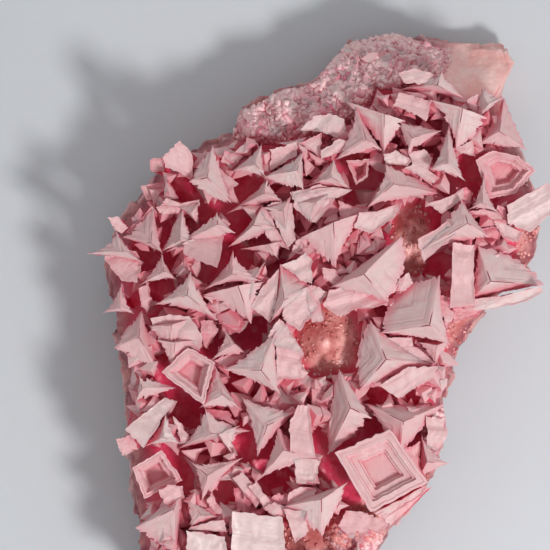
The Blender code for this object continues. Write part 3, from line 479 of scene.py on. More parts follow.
        star((121.8, 26.3, 37), (120.5, 21.5), (125.8, 24.5), (119.5, 30), web=(1.0, 1.0, 1.8)),
        plate(35, (0.05, 0.1), (99.5, 18.2), (104.5, 16.8), (108, 18), (109.2, 20), (106, 21.2),
              (101, 20.8), tone=0),
        plate(34, (0.1, 0), (116.5, 25), (119.5, 23), (121, 26), (120, 29.5), (117.5, 27.5),
              tone=-0.3),
    ),
    "hopper_ne_soft": (
        star((124.8, 32.8, 36), (120, 35.8), (131.8, 37.5), (126.3, 24.3), web=1.1),
    ),
    "cube_e_white": (
        plate(36, (0.05, 0.15), (126.5, 51.3), (137, 45.5), (140.5, 51.3), (132.5, 58.3),
              (127, 56)),
    ),
    "hopper_e_arm": (
        star((116.8, 55.8, 40), (105, 62.8), (115.3, 49.8), (122.3, 59.3), web=1.0),
        plate(38, (-0.2, 0.1), (104, 60), (112, 55), (114, 58.5), (106, 65.5)),
        star((120.5, 50.8, 38), (121, 43.3), (117, 52.5), (125, 53.3), web=0.75),
        plate(34, (0.1, 0.1), (119, 40), (123, 37.3), (130, 38.8), (134.5, 42.5), (129, 48.5),
              (122, 49.8), pit=True, tone=1.3),
        plate(33.5, (0.05, 0.05), (124.5, 51.2), (126.5, 51.8), (127, 56.2), (131.5, 58.5),
              (129.5, 60.8), (126, 59.5), (123.2, 55.5), tone=0),
        plate(32, (0.05, 0.1), (120, 57), (123.2, 56), (125.8, 58), (125.2, 60.2), (121.5, 59.5),
              tone=2),
        plate(35, (0.05, 0.05), (116.5, 52.8), (121.2, 52.2), (125.2, 53.2), (126.2, 55.2),
              (123.2, 55.2), (122, 54), (118.5, 53.8), tone=0.3),
    ),
    "hopper_e_dark": (
        plate(35, (0.05, 0.1), (106.5, 51), (112.5, 49), (116, 46.8), (116.5, 49.5),
              (110.5, 53.5)),
        plate(34, (0.05, 0.1), (113.8, 46.8), (117, 46.5), (118.5, 48.2), (117.5, 52),
              (115.8, 49.8), tone=1.8),
    ),
    "hopper_e_apron": (
        plate(38, (0.1, 0.02), (113, 60.5), (118.5, 61), (118.8, 76.5), (112.3, 77)),
        star((122.5, 70.3, 38), (119.5, 61.3), (136.3, 71.3), (117.5, 75), web=(2.0, 1.0, 1.0)),
        plate(36, (0.05, 0.15), (114, 76.5), (118, 74.8), (126.2, 73.8), (135.2, 71.5),
              (136.2, 72.8), (132.5, 75.2), (125, 77), (119.5, 77.8), tone=-0.6),
    ),
    "hopper_e_hood": (
        star((107.3, 81.3, 41), (95, 83.3), (110, 68.8), (112.5, 86.3), web=(4.0, 0.9, 0.9)),
        plate(36, (0.05, 0.1), (98.5, 72.8), (99.8, 69.5), (102.2, 68), (103.5, 70.8), (101, 73),
              tone=0.9),
        plate(35, (0.1, 0.05), (109.2, 73.2), (112.2, 74.2), (112.8, 77.5), (114.2, 78.2),
              (111.8, 82.5), (110.2, 78), tone=0.3),
    ),
    "hopper_e_pair": (
        star((96.5, 89.8, 39), (92.5, 80), (89.8, 97.8), (109.3, 91.3), web=(1.9, 0.9, 0.9)),
        star((109.3, 86.3, 35), (104.5, 85.5), (113.3, 84.8), (109, 91.5), web=1.0),
        plate(37, (0.0, 0.2), (94.5, 96.5), (102, 91.5), (109.5, 91.5), (109, 94.3),
              (104, 97), (99.5, 100)),
        plate(35, (0.05, 0.1), (96.5, 84.5), (103, 84), (103.5, 86.5), (105.2, 87.2),
              (109.2, 91.2), (104.5, 90), (99.5, 86.5), tone=0.9),
        plate(33, (0.05, 0.05), (104.2, 96), (107, 95), (110.2, 93.2), (111.8, 96.5),
              (110.2, 99.5), (106.2, 100), (103.8, 99), tone=1.5),
    ),
    "hopper_c_terrace": (
        star((90.8, 68.5, 41), (100.5, 59), (82.3, 72), (97, 75.5), web=(1.3, 1.0, 1.7)),
        plate(37, (0.1, -0.1), (82, 72.5), (90, 70), (97.5, 75.5), (93.5, 77), (89, 77.5),
              (85, 79.5), (80.5, 76.5)),
    ),
    "hopper_c_stub": (
        star((76, 61.8, 35), (71.5, 65.3), (74.3, 58.8), (82, 62.5), web=1.1),
    ),
    "hopper_c_pillar": (
        star((83.3, 55.5, 40), (75, 59.5), (84, 67), (93, 52.5), web=(1.1, 0.8, 1.6)),
        plate(37.5, (0.1, 0.1), (88.3, 57), (89.5, 53), (95, 52.5), (100, 50.8), (99, 54),
              (93, 58.5)),
        plate(35, (0.05, 0.1), (80.2, 66.8), (84, 67.2), (86.5, 71), (83.5, 71.8), (80.8, 69.8),
              tone=1.1),
    ),
    "hopper_c_triple": (
        star((58, 68.5, 40), (58.3, 62.5), (50.8, 72.5), (65.5, 70.3), web=0.8),
        star((63.5, 69.5, 38), (66.5, 65.3), (58.5, 68.5), (62.5, 75), web=0.9),
        star((59.5, 71.3, 39), (50.5, 73.8), (62.8, 81), (66, 70.5), web=0.95),
        plate(34, (0.05, 0.1), (50, 80), (53.5, 80), (54.8, 82.5), (51.5, 87.5), (49.8, 84.5),
              tone=1.7),
        plate(32, (0.05, 0.1), (53.8, 78), (58, 77.5), (61.5, 80.5), (60, 83.5), (56.5, 82.5),
              (54.5, 80.5), tone=2.2),
    ),
    "hopper_c_ring": (
        star((71, 75, 39), (70, 66), (78, 71.5), (67.5, 80.8), web=1.2),
        plate(37, (0.1, 0.05), (70.5, 74.5), (77, 71.5), (80, 77), (75, 83), (70.5, 80)),
        plate(37.5, (0.05, 0.05), (70.2, 66.2), (74, 64.8), (76.5, 63), (78.2, 65), (78.2, 71.2),
              (75, 70.2), tone=-0.2),
        plate(36, (0.1, 0.02), (76.8, 71.5), (78.5, 71), (82, 72.8), (80.5, 76.5), (81.2, 80.5),
              (78, 80.8), (76.5, 75), tone=-0.1),
        plate(36.5, (-0.1, 0.05), (66, 71), (69.8, 67), (69.2, 75), (67.5, 80.8), (62.5, 77),
              (64, 74), tone=0.2),
    ),
    "hopper_c_beak": (
        star((58.5, 85.8, 38), (56.5, 82.8), (61.8, 88.8), (53, 90), web=0.9),
        plate(34.5, (0, 0.1), (53.2, 90.2), (58, 88), (61.5, 87.8), (60.2, 93), (56.5, 92.2),
              tone=0.9),
    ),
    "hopper_c_chief": (
        star((65.3, 92.5, 41), (55.8, 92.3), (70.3, 98.8), (69, 82.8), web=0.95),
        plate(37.5, (0.1, 0.1), (69, 86.3), (76, 88), (75.5, 94.8), (69, 95)),
        plate(38, (0.05, -0.1), (66.5, 84), (69.8, 79.5), (71.8, 81.2), (74.2, 85), (76, 88.2),
              (69, 86.8), tone=-0.2),
    ),
    "column_s": (
        plate(40, (0.05, -0.05), (74.5, 100.8), (77.3, 101.3), (79, 114.5), (72.5, 113),
              (72, 106)),
        star((70.8, 112.3, 39), (65, 119.8), (69.3, 106.3), (80.5, 115), web=0.85),
        star((66.8, 106.3, 39), (60.5, 99.3), (64.3, 114.3), (74, 103), web=0.95),
        plate(36.5, (0, 0.1), (73.2, 114), (80.5, 115), (79.5, 116.8), (80, 121), (74, 121),
              tone=0.1),
        plate(36, (0.05, 0.05), (72, 123.2), (75, 121.5), (79.2, 122), (78.8, 125), (75, 126.5),
              (71.8, 126.2), tone=0.4),
    ),
    "hopper_s_hook": (
        star((87.5, 101.8, 40), (84.8, 92.3), (93, 104.5), (82, 113.8), web=(1.2, 1.1, 1.6)),
    ),
    "hopper_se_vault": (
        star((100.8, 105.3, 38), (91.3, 101), (111.5, 101), (100, 114.3), web=1.0),
        plate(34, (0.1, 0.05), (106.5, 104), (111.5, 104.5), (112.3, 108), (110, 113.5),
              (106.8, 112)),
        star((106.8, 115.5, 36), (112.5, 116), (104, 121), (105.5, 109), web=0.9),
        plate(35.5, (0.1, 0), (99.2, 108.5), (102, 111.8), (105.2, 110.2), (105, 117),
              (106.8, 120), (105, 121.2), (100.5, 112.5), tone=0.9),
    ),
    "hopper_se_square": (
        plate(40, (-0.02, 0.05), (83.5, 113), (97.3, 106.8), (107, 120.5), (92.5, 128.3),
              pit=True),
        plate(36, (0.05, 0.3), (93.2, 128.5), (107, 121), (106.2, 123.2), (101.5, 126.5),
              (96.5, 129.5), tone=-0.9),
    ),
    "hopper_s_great": (
        star((80.3, 124.5, 41), (87, 120.5), (80.5, 134.3), (69.8, 127), web=(1.2, 1.0, 1.3)),
        plate(38, (0.0, 0.2), (70.8, 127), (76.5, 127.5), (77.5, 133), (73.8, 136)),
        plate(34.5, (0, 0.1), (66.5, 125.2), (69.5, 123.2), (72.8, 123.8), (72.2, 126.5),
              (69, 126), tone=1.4),
        plate(37, (0.05, 0.1), (65.5, 127), (68.8, 125.2), (71.2, 126.8), (71.5, 129.5),
              (68, 129), tone=0.3),
    ),
    "hopper_s_rim_west": (
        star((43, 145, 36), (37, 146.5), (44.5, 141.5), (47, 150), web=0.95),
    ),
    "hopper_s_rim_middle": (
        star((53, 148, 37), (47, 148.5), (55, 144.5), (56.5, 153.5), web=0.9),
    ),
    "hopper_s_rim_centre": (
        star((65.5, 150.5, 37), (59, 152), (67, 146), (71, 154.5), web=0.9),
        plate(31, (0.05, 0.05), (86.5, 127.8), (91.5, 128.2), (94, 129.2), (98, 130.8),
              (95.5, 134), (93, 133.2), (88, 135.2), (84.5, 131.8), tone=1.3),
    ),
    "hopper_s_rim_east": (
        star((78.5, 144.5, 37.5), (74, 148.5), (79.5, 138.5), (85, 147), web=0.9),
    ),
    "hopper_s_rim_square": (
        plate(34, (0.05, 0.05), (75, 149.5), (81, 149.5), (82.5, 153), (75.5, 154), pit=True),
    ),
    "hopper_se_rim": (
        star((89.5, 140.5, 35), (85, 143.5), (89.5, 135), (94, 143), web=0.9),
    ),
}


# Chance values and surfaces


def lattice_value(spot, seed):
    """A chance value from 0 to 1 for each whole-number lattice spot, from mixed bits."""
    mixed = spot[..., 0] * 73856093 ^ spot[..., 1] * 19349663 ^ spot[..., 2] * 83492791
    mixed = (mixed ^ seed * 2654435761) & 0x7FFFFFFF
    mixed = (mixed ^ mixed >> 13) * 1274126177 & 0x7FFFFFFF
    return (mixed ^ mixed >> 16) / 0x7FFFFFFF


def mottle(points, size, seed=0):
    """Value noise from -1 to 1: the values at a lattice cell's corners, mixed by 3t^2 - 2t^3."""
    scaled = np.asarray(points) / size
    cell = np.floor(scaled).astype(np.int64)
    part = scaled - cell
    part = part * part * (3 - 2 * part)
    total = np.zeros(scaled.shape[:-1])
    for corner in itertools.product((0, 1), repeat=3):
        weight = np.prod(np.where(corner, part, 1 - part), axis=-1)
        total += weight * lattice_value(cell + corner, seed)
    return total * 2 - 1


def crumble(points, size, seed=0):
    """Three sizes of mottle, each half as large and half as strong as the one before."""
    return sum(mottle(points, size / 2**k, seed + k) / 2**k for k in range(3)) / 1.75


def smooth_step(low, high, value):
    """0 below low, 1 above high and 3t^2 - 2t^3 between them."""
    share = np.clip((value - low) / (high - low), 0, 1)
    return share * share * (3 - 2 * share)


def unit(vectors):
    """Vectors over their own lengths."""
    return vectors / np.linalg.norm(vectors, axis=-1, keepdims=True)


def to_frame(x, y, height=0.0):
    """Survey millimetres to frame millimetres: +X right, +Y up the survey, +Z up."""
    x, y, height = np.broadcast_arrays(x, y, height)
    return np.stack((x - PLAN_CENTRE[0], PLAN_CENTRE[1] - y, height), axis=-1).astype(float)


def grid_faces(rows, columns, first=0, closed=False):
    """Four-cornered faces of a grid of points stored row by row; closed joins its last column."""
    wide = columns if closed else columns - 1
    row, column = np.mgrid[0 : rows - 1, 0:wide]
    after = (column + 1) % columns
    below = row + 1
    corners = (row * columns + column, below * columns + column, below * columns + after,
               row * columns + after)
    return np.stack([corner.ravel() for corner in corners], axis=-1) + first


def weld(points, faces, marks):
    """Joins points that coincide within a thousandth of a millimetre."""
    _, keep, place = np.unique(np.round(points * 1000), axis=0, return_index=True,
                               return_inverse=True)
    return points[keep], place.ravel()[faces], {key: values[keep] for key, values in marks.items()}


class Shape:
    """Points, four-cornered faces and named values at the points, gathered from many surfaces."""

    def __init__(self):
        self.points, self.faces, self.marks, self.count = [], [], [], 0

    def add(self, points, faces, **marks):
        """Adds one surface; a mark is one value or one for each point."""
        points = np.asarray(points, float).reshape(-1, 3)
        self.points.append(points)
        self.faces.append(np.asarray(faces) + self.count)
        self.marks.append({key: np.broadcast_to(np.ravel(value), len(points))
                           for key, value in marks.items()})
        self.count += len(points)

    def joined(self):
        """Everything added so far as whole arrays."""
        marks = {key: np.concatenate([each[key] for each in self.marks]) for key in self.marks[0]}
        return np.concatenate(self.points), np.concatenate(self.faces), marks


def make_piece(name, shape, material, sharp=None):
    """A mesh object from a shape in millimetres.  A face whose corners coincide loses them.

    sharp is the angle past which an edge stays crisp; without it every face is flat.
    """
    points, faces, marks = weld(*shape.joined())
    mesh = bpy.data.meshes.new(name)
    kept = np.stack([faces[:, k] != faces[:, k - 1] for k in range(4)], axis=-1)
    sound = kept.sum(axis=1) > 2
    faces, kept = faces[sound], kept[sound]
    sizes = kept.sum(axis=1)
    mesh.vertices.add(len(points))
    mesh.vertices.foreach_set("co", (points * MM).astype(np.float32).ravel())
    mesh.loops.add(int(sizes.sum()))
    mesh.loops.foreach_set("vertex_index", faces[kept].astype(np.int32))
    mesh.polygons.add(len(faces))
    mesh.polygons.foreach_set("loop_start", (np.cumsum(sizes) - sizes).astype(np.int32))
    mesh.update(calc_edges=True)
    for key, values in marks.items():
        layer = mesh.attributes.new(key, "FLOAT", "POINT")
        layer.data.foreach_set("value", values.astype(np.float32))
    if sharp:
        mesh.shade_smooth()
        mesh.set_sharp_from_angle(angle=math.radians(sharp))
    piece = bpy.data.objects.new(name, mesh)
    bpy.context.scene.collection.objects.link(piece)
    mesh.materials.append(material)
    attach(piece, "root")
    return piece


# The slab's form


def outline_by_heading():
    """The outline's corners and the points between them as heading and distance, by heading."""
    corners = to_frame(*np.array(SLAB_OUTLINE, float).T)[:, :2]
    share = np.linspace(0, 1, 8, endpoint=False)[:, None, None]
    points = (corners * (1 - share) + np.roll(corners, -1, axis=0) * share).reshape(-1, 2)
    heading = np.arctan2(points[:, 1], points[:, 0])
    order = np.argsort(heading)
    return heading[order], np.hypot(*points.T)[order]


OUTLINE = outline_by_heading()


def outline_distance(heading):
    """Distance from the plan's centre to the outline along a heading."""
    return np.interp(heading, *OUTLINE, period=2 * math.pi)


def slab_reach(place):
    """How far out a place lies: 0 at the plan's centre, 1 at the outline."""
    reach = np.hypot(place[..., 0], place[..., 1])
    return reach / outline_distance(np.arctan2(place[..., 1], place[..., 0]))


def slab_height(place):
    """Height of the slab's top: level in the middle, a square fall towards the outline, and
    swells and hollows that fade as exp(-distance^2), with a coarse mottle."""
    reach = slab_reach(place)
    past = np.clip((reach - SLAB_EDGE_START) / 0.3, 0, None)
    height = SLAB_TOP - SLAB_EDGE_FALL * past**2
    for x, y, radius, rise in SWELLS:
        away = np.hypot(*(place[..., :2] - to_frame(x, y)[:2]).T).T / radius
        height = height + rise * np.exp(-away * away)
    flat = np.stack((place[..., 0], place[..., 1], np.zeros(reach.shape)), axis=-1)
    return height + 0.9 * mottle(flat, 4.5, 3)


def patch_strength(place, patches):
    """1 in the middle of a patch (x, y, half width, half height) and 0 past its edge."""
    strength = np.zeros(place.shape[:-1])
    for x, y, half_width, half_height in patches:
        spot = to_frame(x, y)
        away = np.hypot((place[..., 0] - spot[0]) / half_width,
                        (place[..., 1] - spot[1]) / half_height)
        strength = np.maximum(strength, 1 - smooth_step(0.7, 1.25, away))
    return strength


# Hopper crystals


def arm_falls(lengths, headings):
    """Fall of three cube edges from a corner that points up, from the headings of their plans.

    tan^2 = -cos(left, right) / (cos(own, left) cos(own, right)), where tan is the plan length over
    the fall; the corner is then pressed flat by one factor, as the arms of a hopper outgrow it.
    """
    left, right = np.roll(headings, 1), np.roll(headings, -1)
    toward = np.cos(headings - left) * np.cos(headings - right)
    across = np.cos(left - right)
    sound = (toward > 1e-6) & (across < 0)
    slope = np.sqrt(np.where(sound, -across / np.where(sound, toward, 1.0), 2.0))
    return lengths / np.clip(slope * ARM_FLATNESS, STEEPEST_ARM, FLATTEST_ARM)


def terraces(sizes, chance):
    """Levels from an arm to the middle of the free edge, and how far each lies below the arm.

    Every terrace is a flat tread and a short riser; levels are shares of the way.
    """
    count = sizes.terraces
    edges = np.linspace(*TERRACE_SPAN, count)
    edges = edges + chance.uniform(-TERRACE_SHIFT, TERRACE_SHIFT, count)
    drops = chance.uniform(*RISER_HEIGHTS, count) * sizes.terrace_drop / MM
    levels, depths = [0.0], [0.0]
    sunk = 0.0
    for edge, drop in zip(edges, drops):
        levels += [edge - RISER_HALF, edge + RISER_HALF]
        depths += [sunk, sunk + drop]
        sunk += drop
    even = np.linspace(0, 1, sizes.line_points + 1)
    fine = np.unique(np.concatenate((levels, even, (0.03, 0.06))))
    return fine, np.interp(fine, levels, depths)


def bites(shares, sizes, chance):
    """How many millimetres each growth line stops short of the free edge, on both its sides.

    Lines of one band stop together, each line a little apart, so the edge is cut in steps: the
    depth is the sum of a band's and a line's chance values squared, and fades near the arm.
    """
    band = chance.uniform(0, 1, (12, 2))[(shares * 9).astype(int)] ** 2
    line = chance.uniform(0, 1, (len(shares), 2)) ** 2
    depth = (BAND_NICK * band + LINE_NICK * line) * smooth_step(0, 0.06, shares)[:, None]
    return depth * sizes.nick_depth / MM


def skirt(rim, sizes, chance):
    """Rows of points from a rim down into the slab, closed at the foot's middle.

    The plan draws in from the rim to a waist and on to a foot, and holds still for most of each
    step down, so that the wall is a stair of growth layers.  A foot that would come out past the
    slab's edge is first moved in, a millimetre at a time.
    """
    middle = rim.mean(axis=0)
    inward = -middle[:2] / max(np.hypot(*middle[:2]), 1e-6)
    foot = middle + (rim - middle) * FOOT_WIDTH
    for _ in range(12):
        reach = np.hypot(foot[:, 0], foot[:, 1])
        limit = GREAT_FOOT_LIMIT * outline_distance(np.arctan2(foot[:, 1], foot[:, 0]))
        if (reach < limit).all():
            break
        foot[:, :2] += inward
    foot[:, 2] = slab_height(foot) - sizes.foot_sink / MM
    share = (WAIST_WIDTH - FOOT_WIDTH) / (1 - FOOT_WIDTH)
    on_line = foot + (rim - foot) * share
    below = middle + (rim - middle) * WAIST_WIDTH
    waist = (on_line + below) / 2
    steps = sizes.wall_steps
    way = np.concatenate([(k / steps, (k + RISER_FALL) / steps) for k in range(steps)] + [[1.0]])
    plan = np.concatenate([(k / steps, (k + RISER_INSET) / steps) for k in range(steps)] + [[1.0]])
    plan[:2] = 0.0, FIRST_INSET
    way[1] = min(way[1], FIRST_FALL)
    way, plan = way[:, None, None], plan[:, None, None]
    upper = rim + (waist - rim) * np.clip(plan / WAIST_LEVEL, 0, 1)
    rows = upper + (foot - waist) * np.clip((plan - WAIST_LEVEL) / (1 - WAIST_LEVEL), 0, 1)
    rows[..., 2] = (rim + (foot - rim) * way[..., 0:1])[..., 2]
    shift = sizes.wall_roughness / MM * smooth_step(0, 0.15, way[..., 0])
    seed = int(chance.integers(1 << 20))
    rows[..., 0] += shift * mottle(rows, WALL_GRAIN, seed)
    rows[..., 1] += shift * mottle(rows, WALL_GRAIN, seed + 1)
    end = np.broadcast_to(rows[-1].mean(axis=0), rows[-1:].shape)
    return np.concatenate((rows, end)), rim[:, 2]


def add_skirt(shape, rim, tone, sizes, chance):
    """Puts a crystal's walls below its rim."""
    rows, top = skirt(rim, sizes, chance)
    depth = top - rows[..., 2]
    # The depth below the rim, with which the material paints the walls darker as painted shade
    shape.add(rows, grid_faces(*rows.shape[:2], closed=True), depth=depth,
              groove=0.0, edge=1.0, shade=tone, layer=depth + WALL_SHIFT)


def add_star(shape, crystal, sizes, chance):
    """A hopper crystal: the corner of a hollow cube that points up.

    A face between two arms is corner + a arm + b next arm.  Its grid runs along growth lines:
    a line keeps min(a, b) = level and ends on the free edge a^web + b^web = 1.
    """
    corner = to_frame(*crystal["corner"])
    tips = to_frame(*np.array(crystal["tips"], float).T) - to_frame(*crystal["corner"][:2])
    headings = np.arctan2(tips[:, 1], tips[:, 0])
    order = np.argsort(headings)
    arms, headings = tips[order], headings[order]
    arms[:, 2] = -arm_falls(np.hypot(arms[:, 0], arms[:, 1]), headings)
    webs = [crystal["webs"][min(i, k) if {i, k} != {0, 2} else 2]
            for i, k in zip(order, np.roll(order, -1))]
    tone = chance.uniform(-1, 1) if crystal["tone"] is None else crystal["tone"]
    along = np.linspace(0, 1, sizes.arm_points + 1)
    across = np.concatenate((-along[:0:-1], along))
    grooves = chance.permutation(GROOVE_REACHES) * chance.uniform(0.5, 1.0)
    rim = []
    for k in range(3):
        arm, following, web = arms[k], arms[(k + 1) % 3], webs[k]
        shares, depths = terraces(sizes, chance)
        level = (shares * 2 ** (-1 / web))[:, None]
        far = (1 - np.minimum(level, 1) ** web) ** (1 / web)
        far = np.maximum(far, level)
        bite = bites(shares, sizes, chance)
        longest = (far - level) * np.array((np.hypot(*arm[:2]), np.hypot(*following[:2])))
        kept = 1 - np.clip(bite / np.maximum(longest, 0.5), 0, LINE_NICK_LIMIT)
        kept = np.where(across < 0, kept[:, :1], kept[:, 1:])
        long_side = level + (far - level) * np.abs(across) * np.where(across == 0, 1, kept)
        a = np.where(across < 0, long_side, level)
        b = np.where(across < 0, level, long_side)
        face = corner + a[..., None] * arm + b[..., None] * following
        inward = -unit(np.cross(arm, following))
        wander = 1 + RISER_WANDER * mottle(face, RISER_GRAIN, int(chance.integers(1 << 20)))
        face = face + (depths[:, None] * wander)[..., None] * inward
        reach = np.where(across < 0, grooves[k], grooves[(k + 1) % 3])
        groove = np.where(level < 1e-9, smooth_step(reach, reach * 0.6, np.abs(across)), 0.0)
        face[..., 2] -= groove * sizes.groove_depth / MM
        face[..., 2] += sizes.cap_roughness / MM * crumble(face, FACE_GRAIN, 9)
        edge = 1 - smooth_step(0.0, 0.42, far - long_side)
        layer = level * np.linalg.norm(arm + following) / 2 + FACE_SHIFT * k
        shape.add(face, grid_faces(*face.shape[:2]), depth=0.0, groove=groove, edge=edge,
                  shade=tone, layer=layer * np.ones_like(across))
        rim += [face[:-1, 0], face[:0:-1, -1]]
    add_skirt(shape, np.concatenate(rim), tone, sizes, chance)


def add_plate(shape, crystal, sizes, chance):
    """A crystal that lies face up: its outline drawn in ring by ring to the middle, then walls.

    The top falls evenly from its highest corner.  A pit goes down in square steps, and a top
    without a pit is ribbed by growth lines.
    """
    corners = np.array(crystal["outline"], float)
    middle = corners.mean(axis=0)
    fall = np.array(crystal["fall"])
    top = crystal["height"] + (corners @ fall).min()
    split = np.linspace(0, 1, sizes.side_points, endpoint=False)[None, :, None]
    rim = (corners[:, None] * (1 - split) + np.roll(corners, -1, axis=0)[:, None] * split)
    rim = rim.reshape(-1, 2)
    spots = np.concatenate((np.floor(rim / NICK_GRAIN), np.zeros((len(rim), 1))), axis=1)
    bite = lattice_value(spots.astype(np.int64), int(chance.integers(1 << 20)))[:, None] ** 2
    bite = bite + 0.5 * chance.uniform(0, 1, (len(rim), 1)) ** 3
    away = np.hypot(*(rim - middle).T)[:, None]
    nick = bite * sizes.nick_depth / MM * PLATE_NICK / away
    rim += (middle - rim) * np.clip(nick, 0, PLATE_NICK_LIMIT)
    frame_rim = to_frame(*rim.T)
    ahead = np.roll(frame_rim, -1, axis=0)
    if (frame_rim[:, 0] * ahead[:, 1] - ahead[:, 0] * frame_rim[:, 1]).sum() < 0:
        rim = rim[::-1]
    # Painted shade: a face-up plate gets more light than a sloping face, so by default it takes a
    # pinker, darker tone
    tone = chance.uniform(0.2, 1.2) if crystal["tone"] is None else crystal["tone"]
    widths, depths = [1.0, 0.93, 0.90], [0.0, 0.0, 0.25]
    if crystal["pit"]:
        widths += [width for width, _ in PIT_STEPS]
        depths += [depth for _, depth in PIT_STEPS]
    else:
        widths, depths = list(np.linspace(1, 0.1, 9)), [0.0] * 9
    widths, depths = np.array(widths + [0.0]), np.array(depths + depths[-1:])
    plan = middle + (rim - middle) * widths[:, None, None]
    face = to_frame(plan[..., 0], plan[..., 1], top - plan @ fall - depths[:, None])
    face[..., 2] += sizes.cap_roughness / MM * crumble(face, FACE_GRAIN, 9) * (widths > 0)[:, None]
    across = np.hypot(*np.ptp(corners, axis=0)) / 2
    layer = (1 - widths[:, None]) * across * np.ones(len(rim))
    if not crystal["pit"]:
        side = unit(corners[1] - corners[0])
        layer = (plan - middle) @ (side[1], -side[0])
        line = np.stack((layer, 0 * layer, 0 * layer), axis=-1)
        swing = mottle(line, PLATE_LINE_GRAIN, int(chance.integers(1 << 20)))
        face[..., 2] -= PLATE_LINE_DEPTH * (1 + swing) * smooth_step(1.0, 0.8, widths)[:, None]
    rows = face[::-1]
    # A tenth of a pit's depth, with which the material paints a little shade into the pit
    shape.add(rows, grid_faces(*rows.shape[:2], closed=True), groove=0.0,
              layer=layer[::-1] + chance.uniform(0, 90),
              depth=np.repeat(depths[::-1], len(rim)) * 0.1 * crystal["pit"],
              edge=np.repeat(smooth_step(0.6, 1.0, widths[::-1]), len(rim)) * 0.5,
              shade=tone)
    add_skirt(shape, face[0], tone, sizes, chance)


def cleavage(points, seed):
    """Broken cubic cleavage, from -1 to 1: 1.3 of a great cube's chance value, 0.7 of a small
    one's, less 1.  Crumble bends the two lattices so that the steps run unevenly.
    """
    bends = [crumble(points, 6.0, seed + axis) for axis in range(3)]
    bent = points + CLEAVAGE_BEND * np.stack(bends, axis=-1)
    great, small = (lattice_value(np.floor(bent / cube).astype(np.int64), seed)
                    for cube in CLEAVAGE_CUBES)
    return 1.3 * great + 0.7 * small - 1.0


def slab_shape(sizes):
    """The slab: rings of its outline from the middle of the top over the edge and down the wall.

    Ring by ring the outline's distance is scaled; the top takes slab_height, the wall bulges as a
    sine between the edge and the base, cleavage cuts it in steps and crumble roughens both.
    """
    around = np.linspace(-math.pi, math.pi, sizes.slab_columns, endpoint=False)
    distance = outline_distance(around)
    direction = np.stack((np.cos(around), np.sin(around)), axis=-1)
    edge = np.concatenate((direction * distance[:, None], np.zeros((len(around), 1))), axis=-1)
    inset = 1 + crumble(edge, 5.0, 41) + 0.6 * crumble(edge, 1.6, 43)
    distance = distance - sizes.slab_roughness / MM * inset
    reach = np.concatenate(([0.0], np.linspace(0.01, 1.0, sizes.slab_rows)))
    plan = direction * (distance * reach[:, None])[..., None]
    top = np.concatenate((plan, np.zeros(plan.shape[:2] + (1,))), axis=-1)
    grain = patch_strength(top, SUGAR_PATCHES)
    lift = (0.35 + 0.6 * grain) * crumble(top, 3.2, 21) + 0.3 * grain * crumble(top, 1.2, 25)
    top[..., 2] = slab_height(top) + lift * (reach > 0)[:, None]
    down = np.linspace(0, 1, sizes.wall_rows + 1)[1:, None]
    edge = top[-1, :, 2]
    tuck = SLAB_WALL_FLARE + (SLAB_BASE_TUCK - SLAB_WALL_FLARE) * (down * 2 - 1) ** 2
    bulge = np.where(down < 0.5, 1 + (SLAB_WALL_FLARE - 1) * np.sin(math.pi * down), tuck)
    wall_plan = direction * (distance * bulge)[..., None]
    wall = np.concatenate((wall_plan, (edge * (1 - down))[..., None]), axis=-1)
    rough = sizes.slab_roughness / MM * smooth_step(0.0, 0.12, down) * smooth_step(1.0, 0.93, down)
    steps = cleavage(wall, 81)
    push = 1.1 * crumble(wall, 9.0, 31) + 2.0 * steps - 0.5 * np.abs(crumble(wall, 2.5, 35))
    wall[..., :2] += direction * (rough * push)[..., None]
    base = np.zeros((1,) + wall.shape[1:])
    points = np.concatenate((top, wall, base))
    shape = Shape()
    tone = np.concatenate((np.zeros(top.shape[:2]), steps, steps[-1:]))
    salmon = patch_strength(points, SALMON_PATCHES)
    # The outer rim of the top and the whole wall carry the wall mark, painted a shaded brown
    # crimson
    outer = np.concatenate((smooth_step(0.9, 1.0, reach), np.ones(len(wall) + 1)))[:, None]
    shape.add(points, grid_faces(*points.shape[:2], closed=True), tone=tone, salmon=salmon,
              sugar=patch_strength(points, SUGAR_PATCHES),
              floor=patch_strength(points, GRAIN_PATCHES), wall=outer * (1 - SALMON_SHARE * salmon))
    return shape


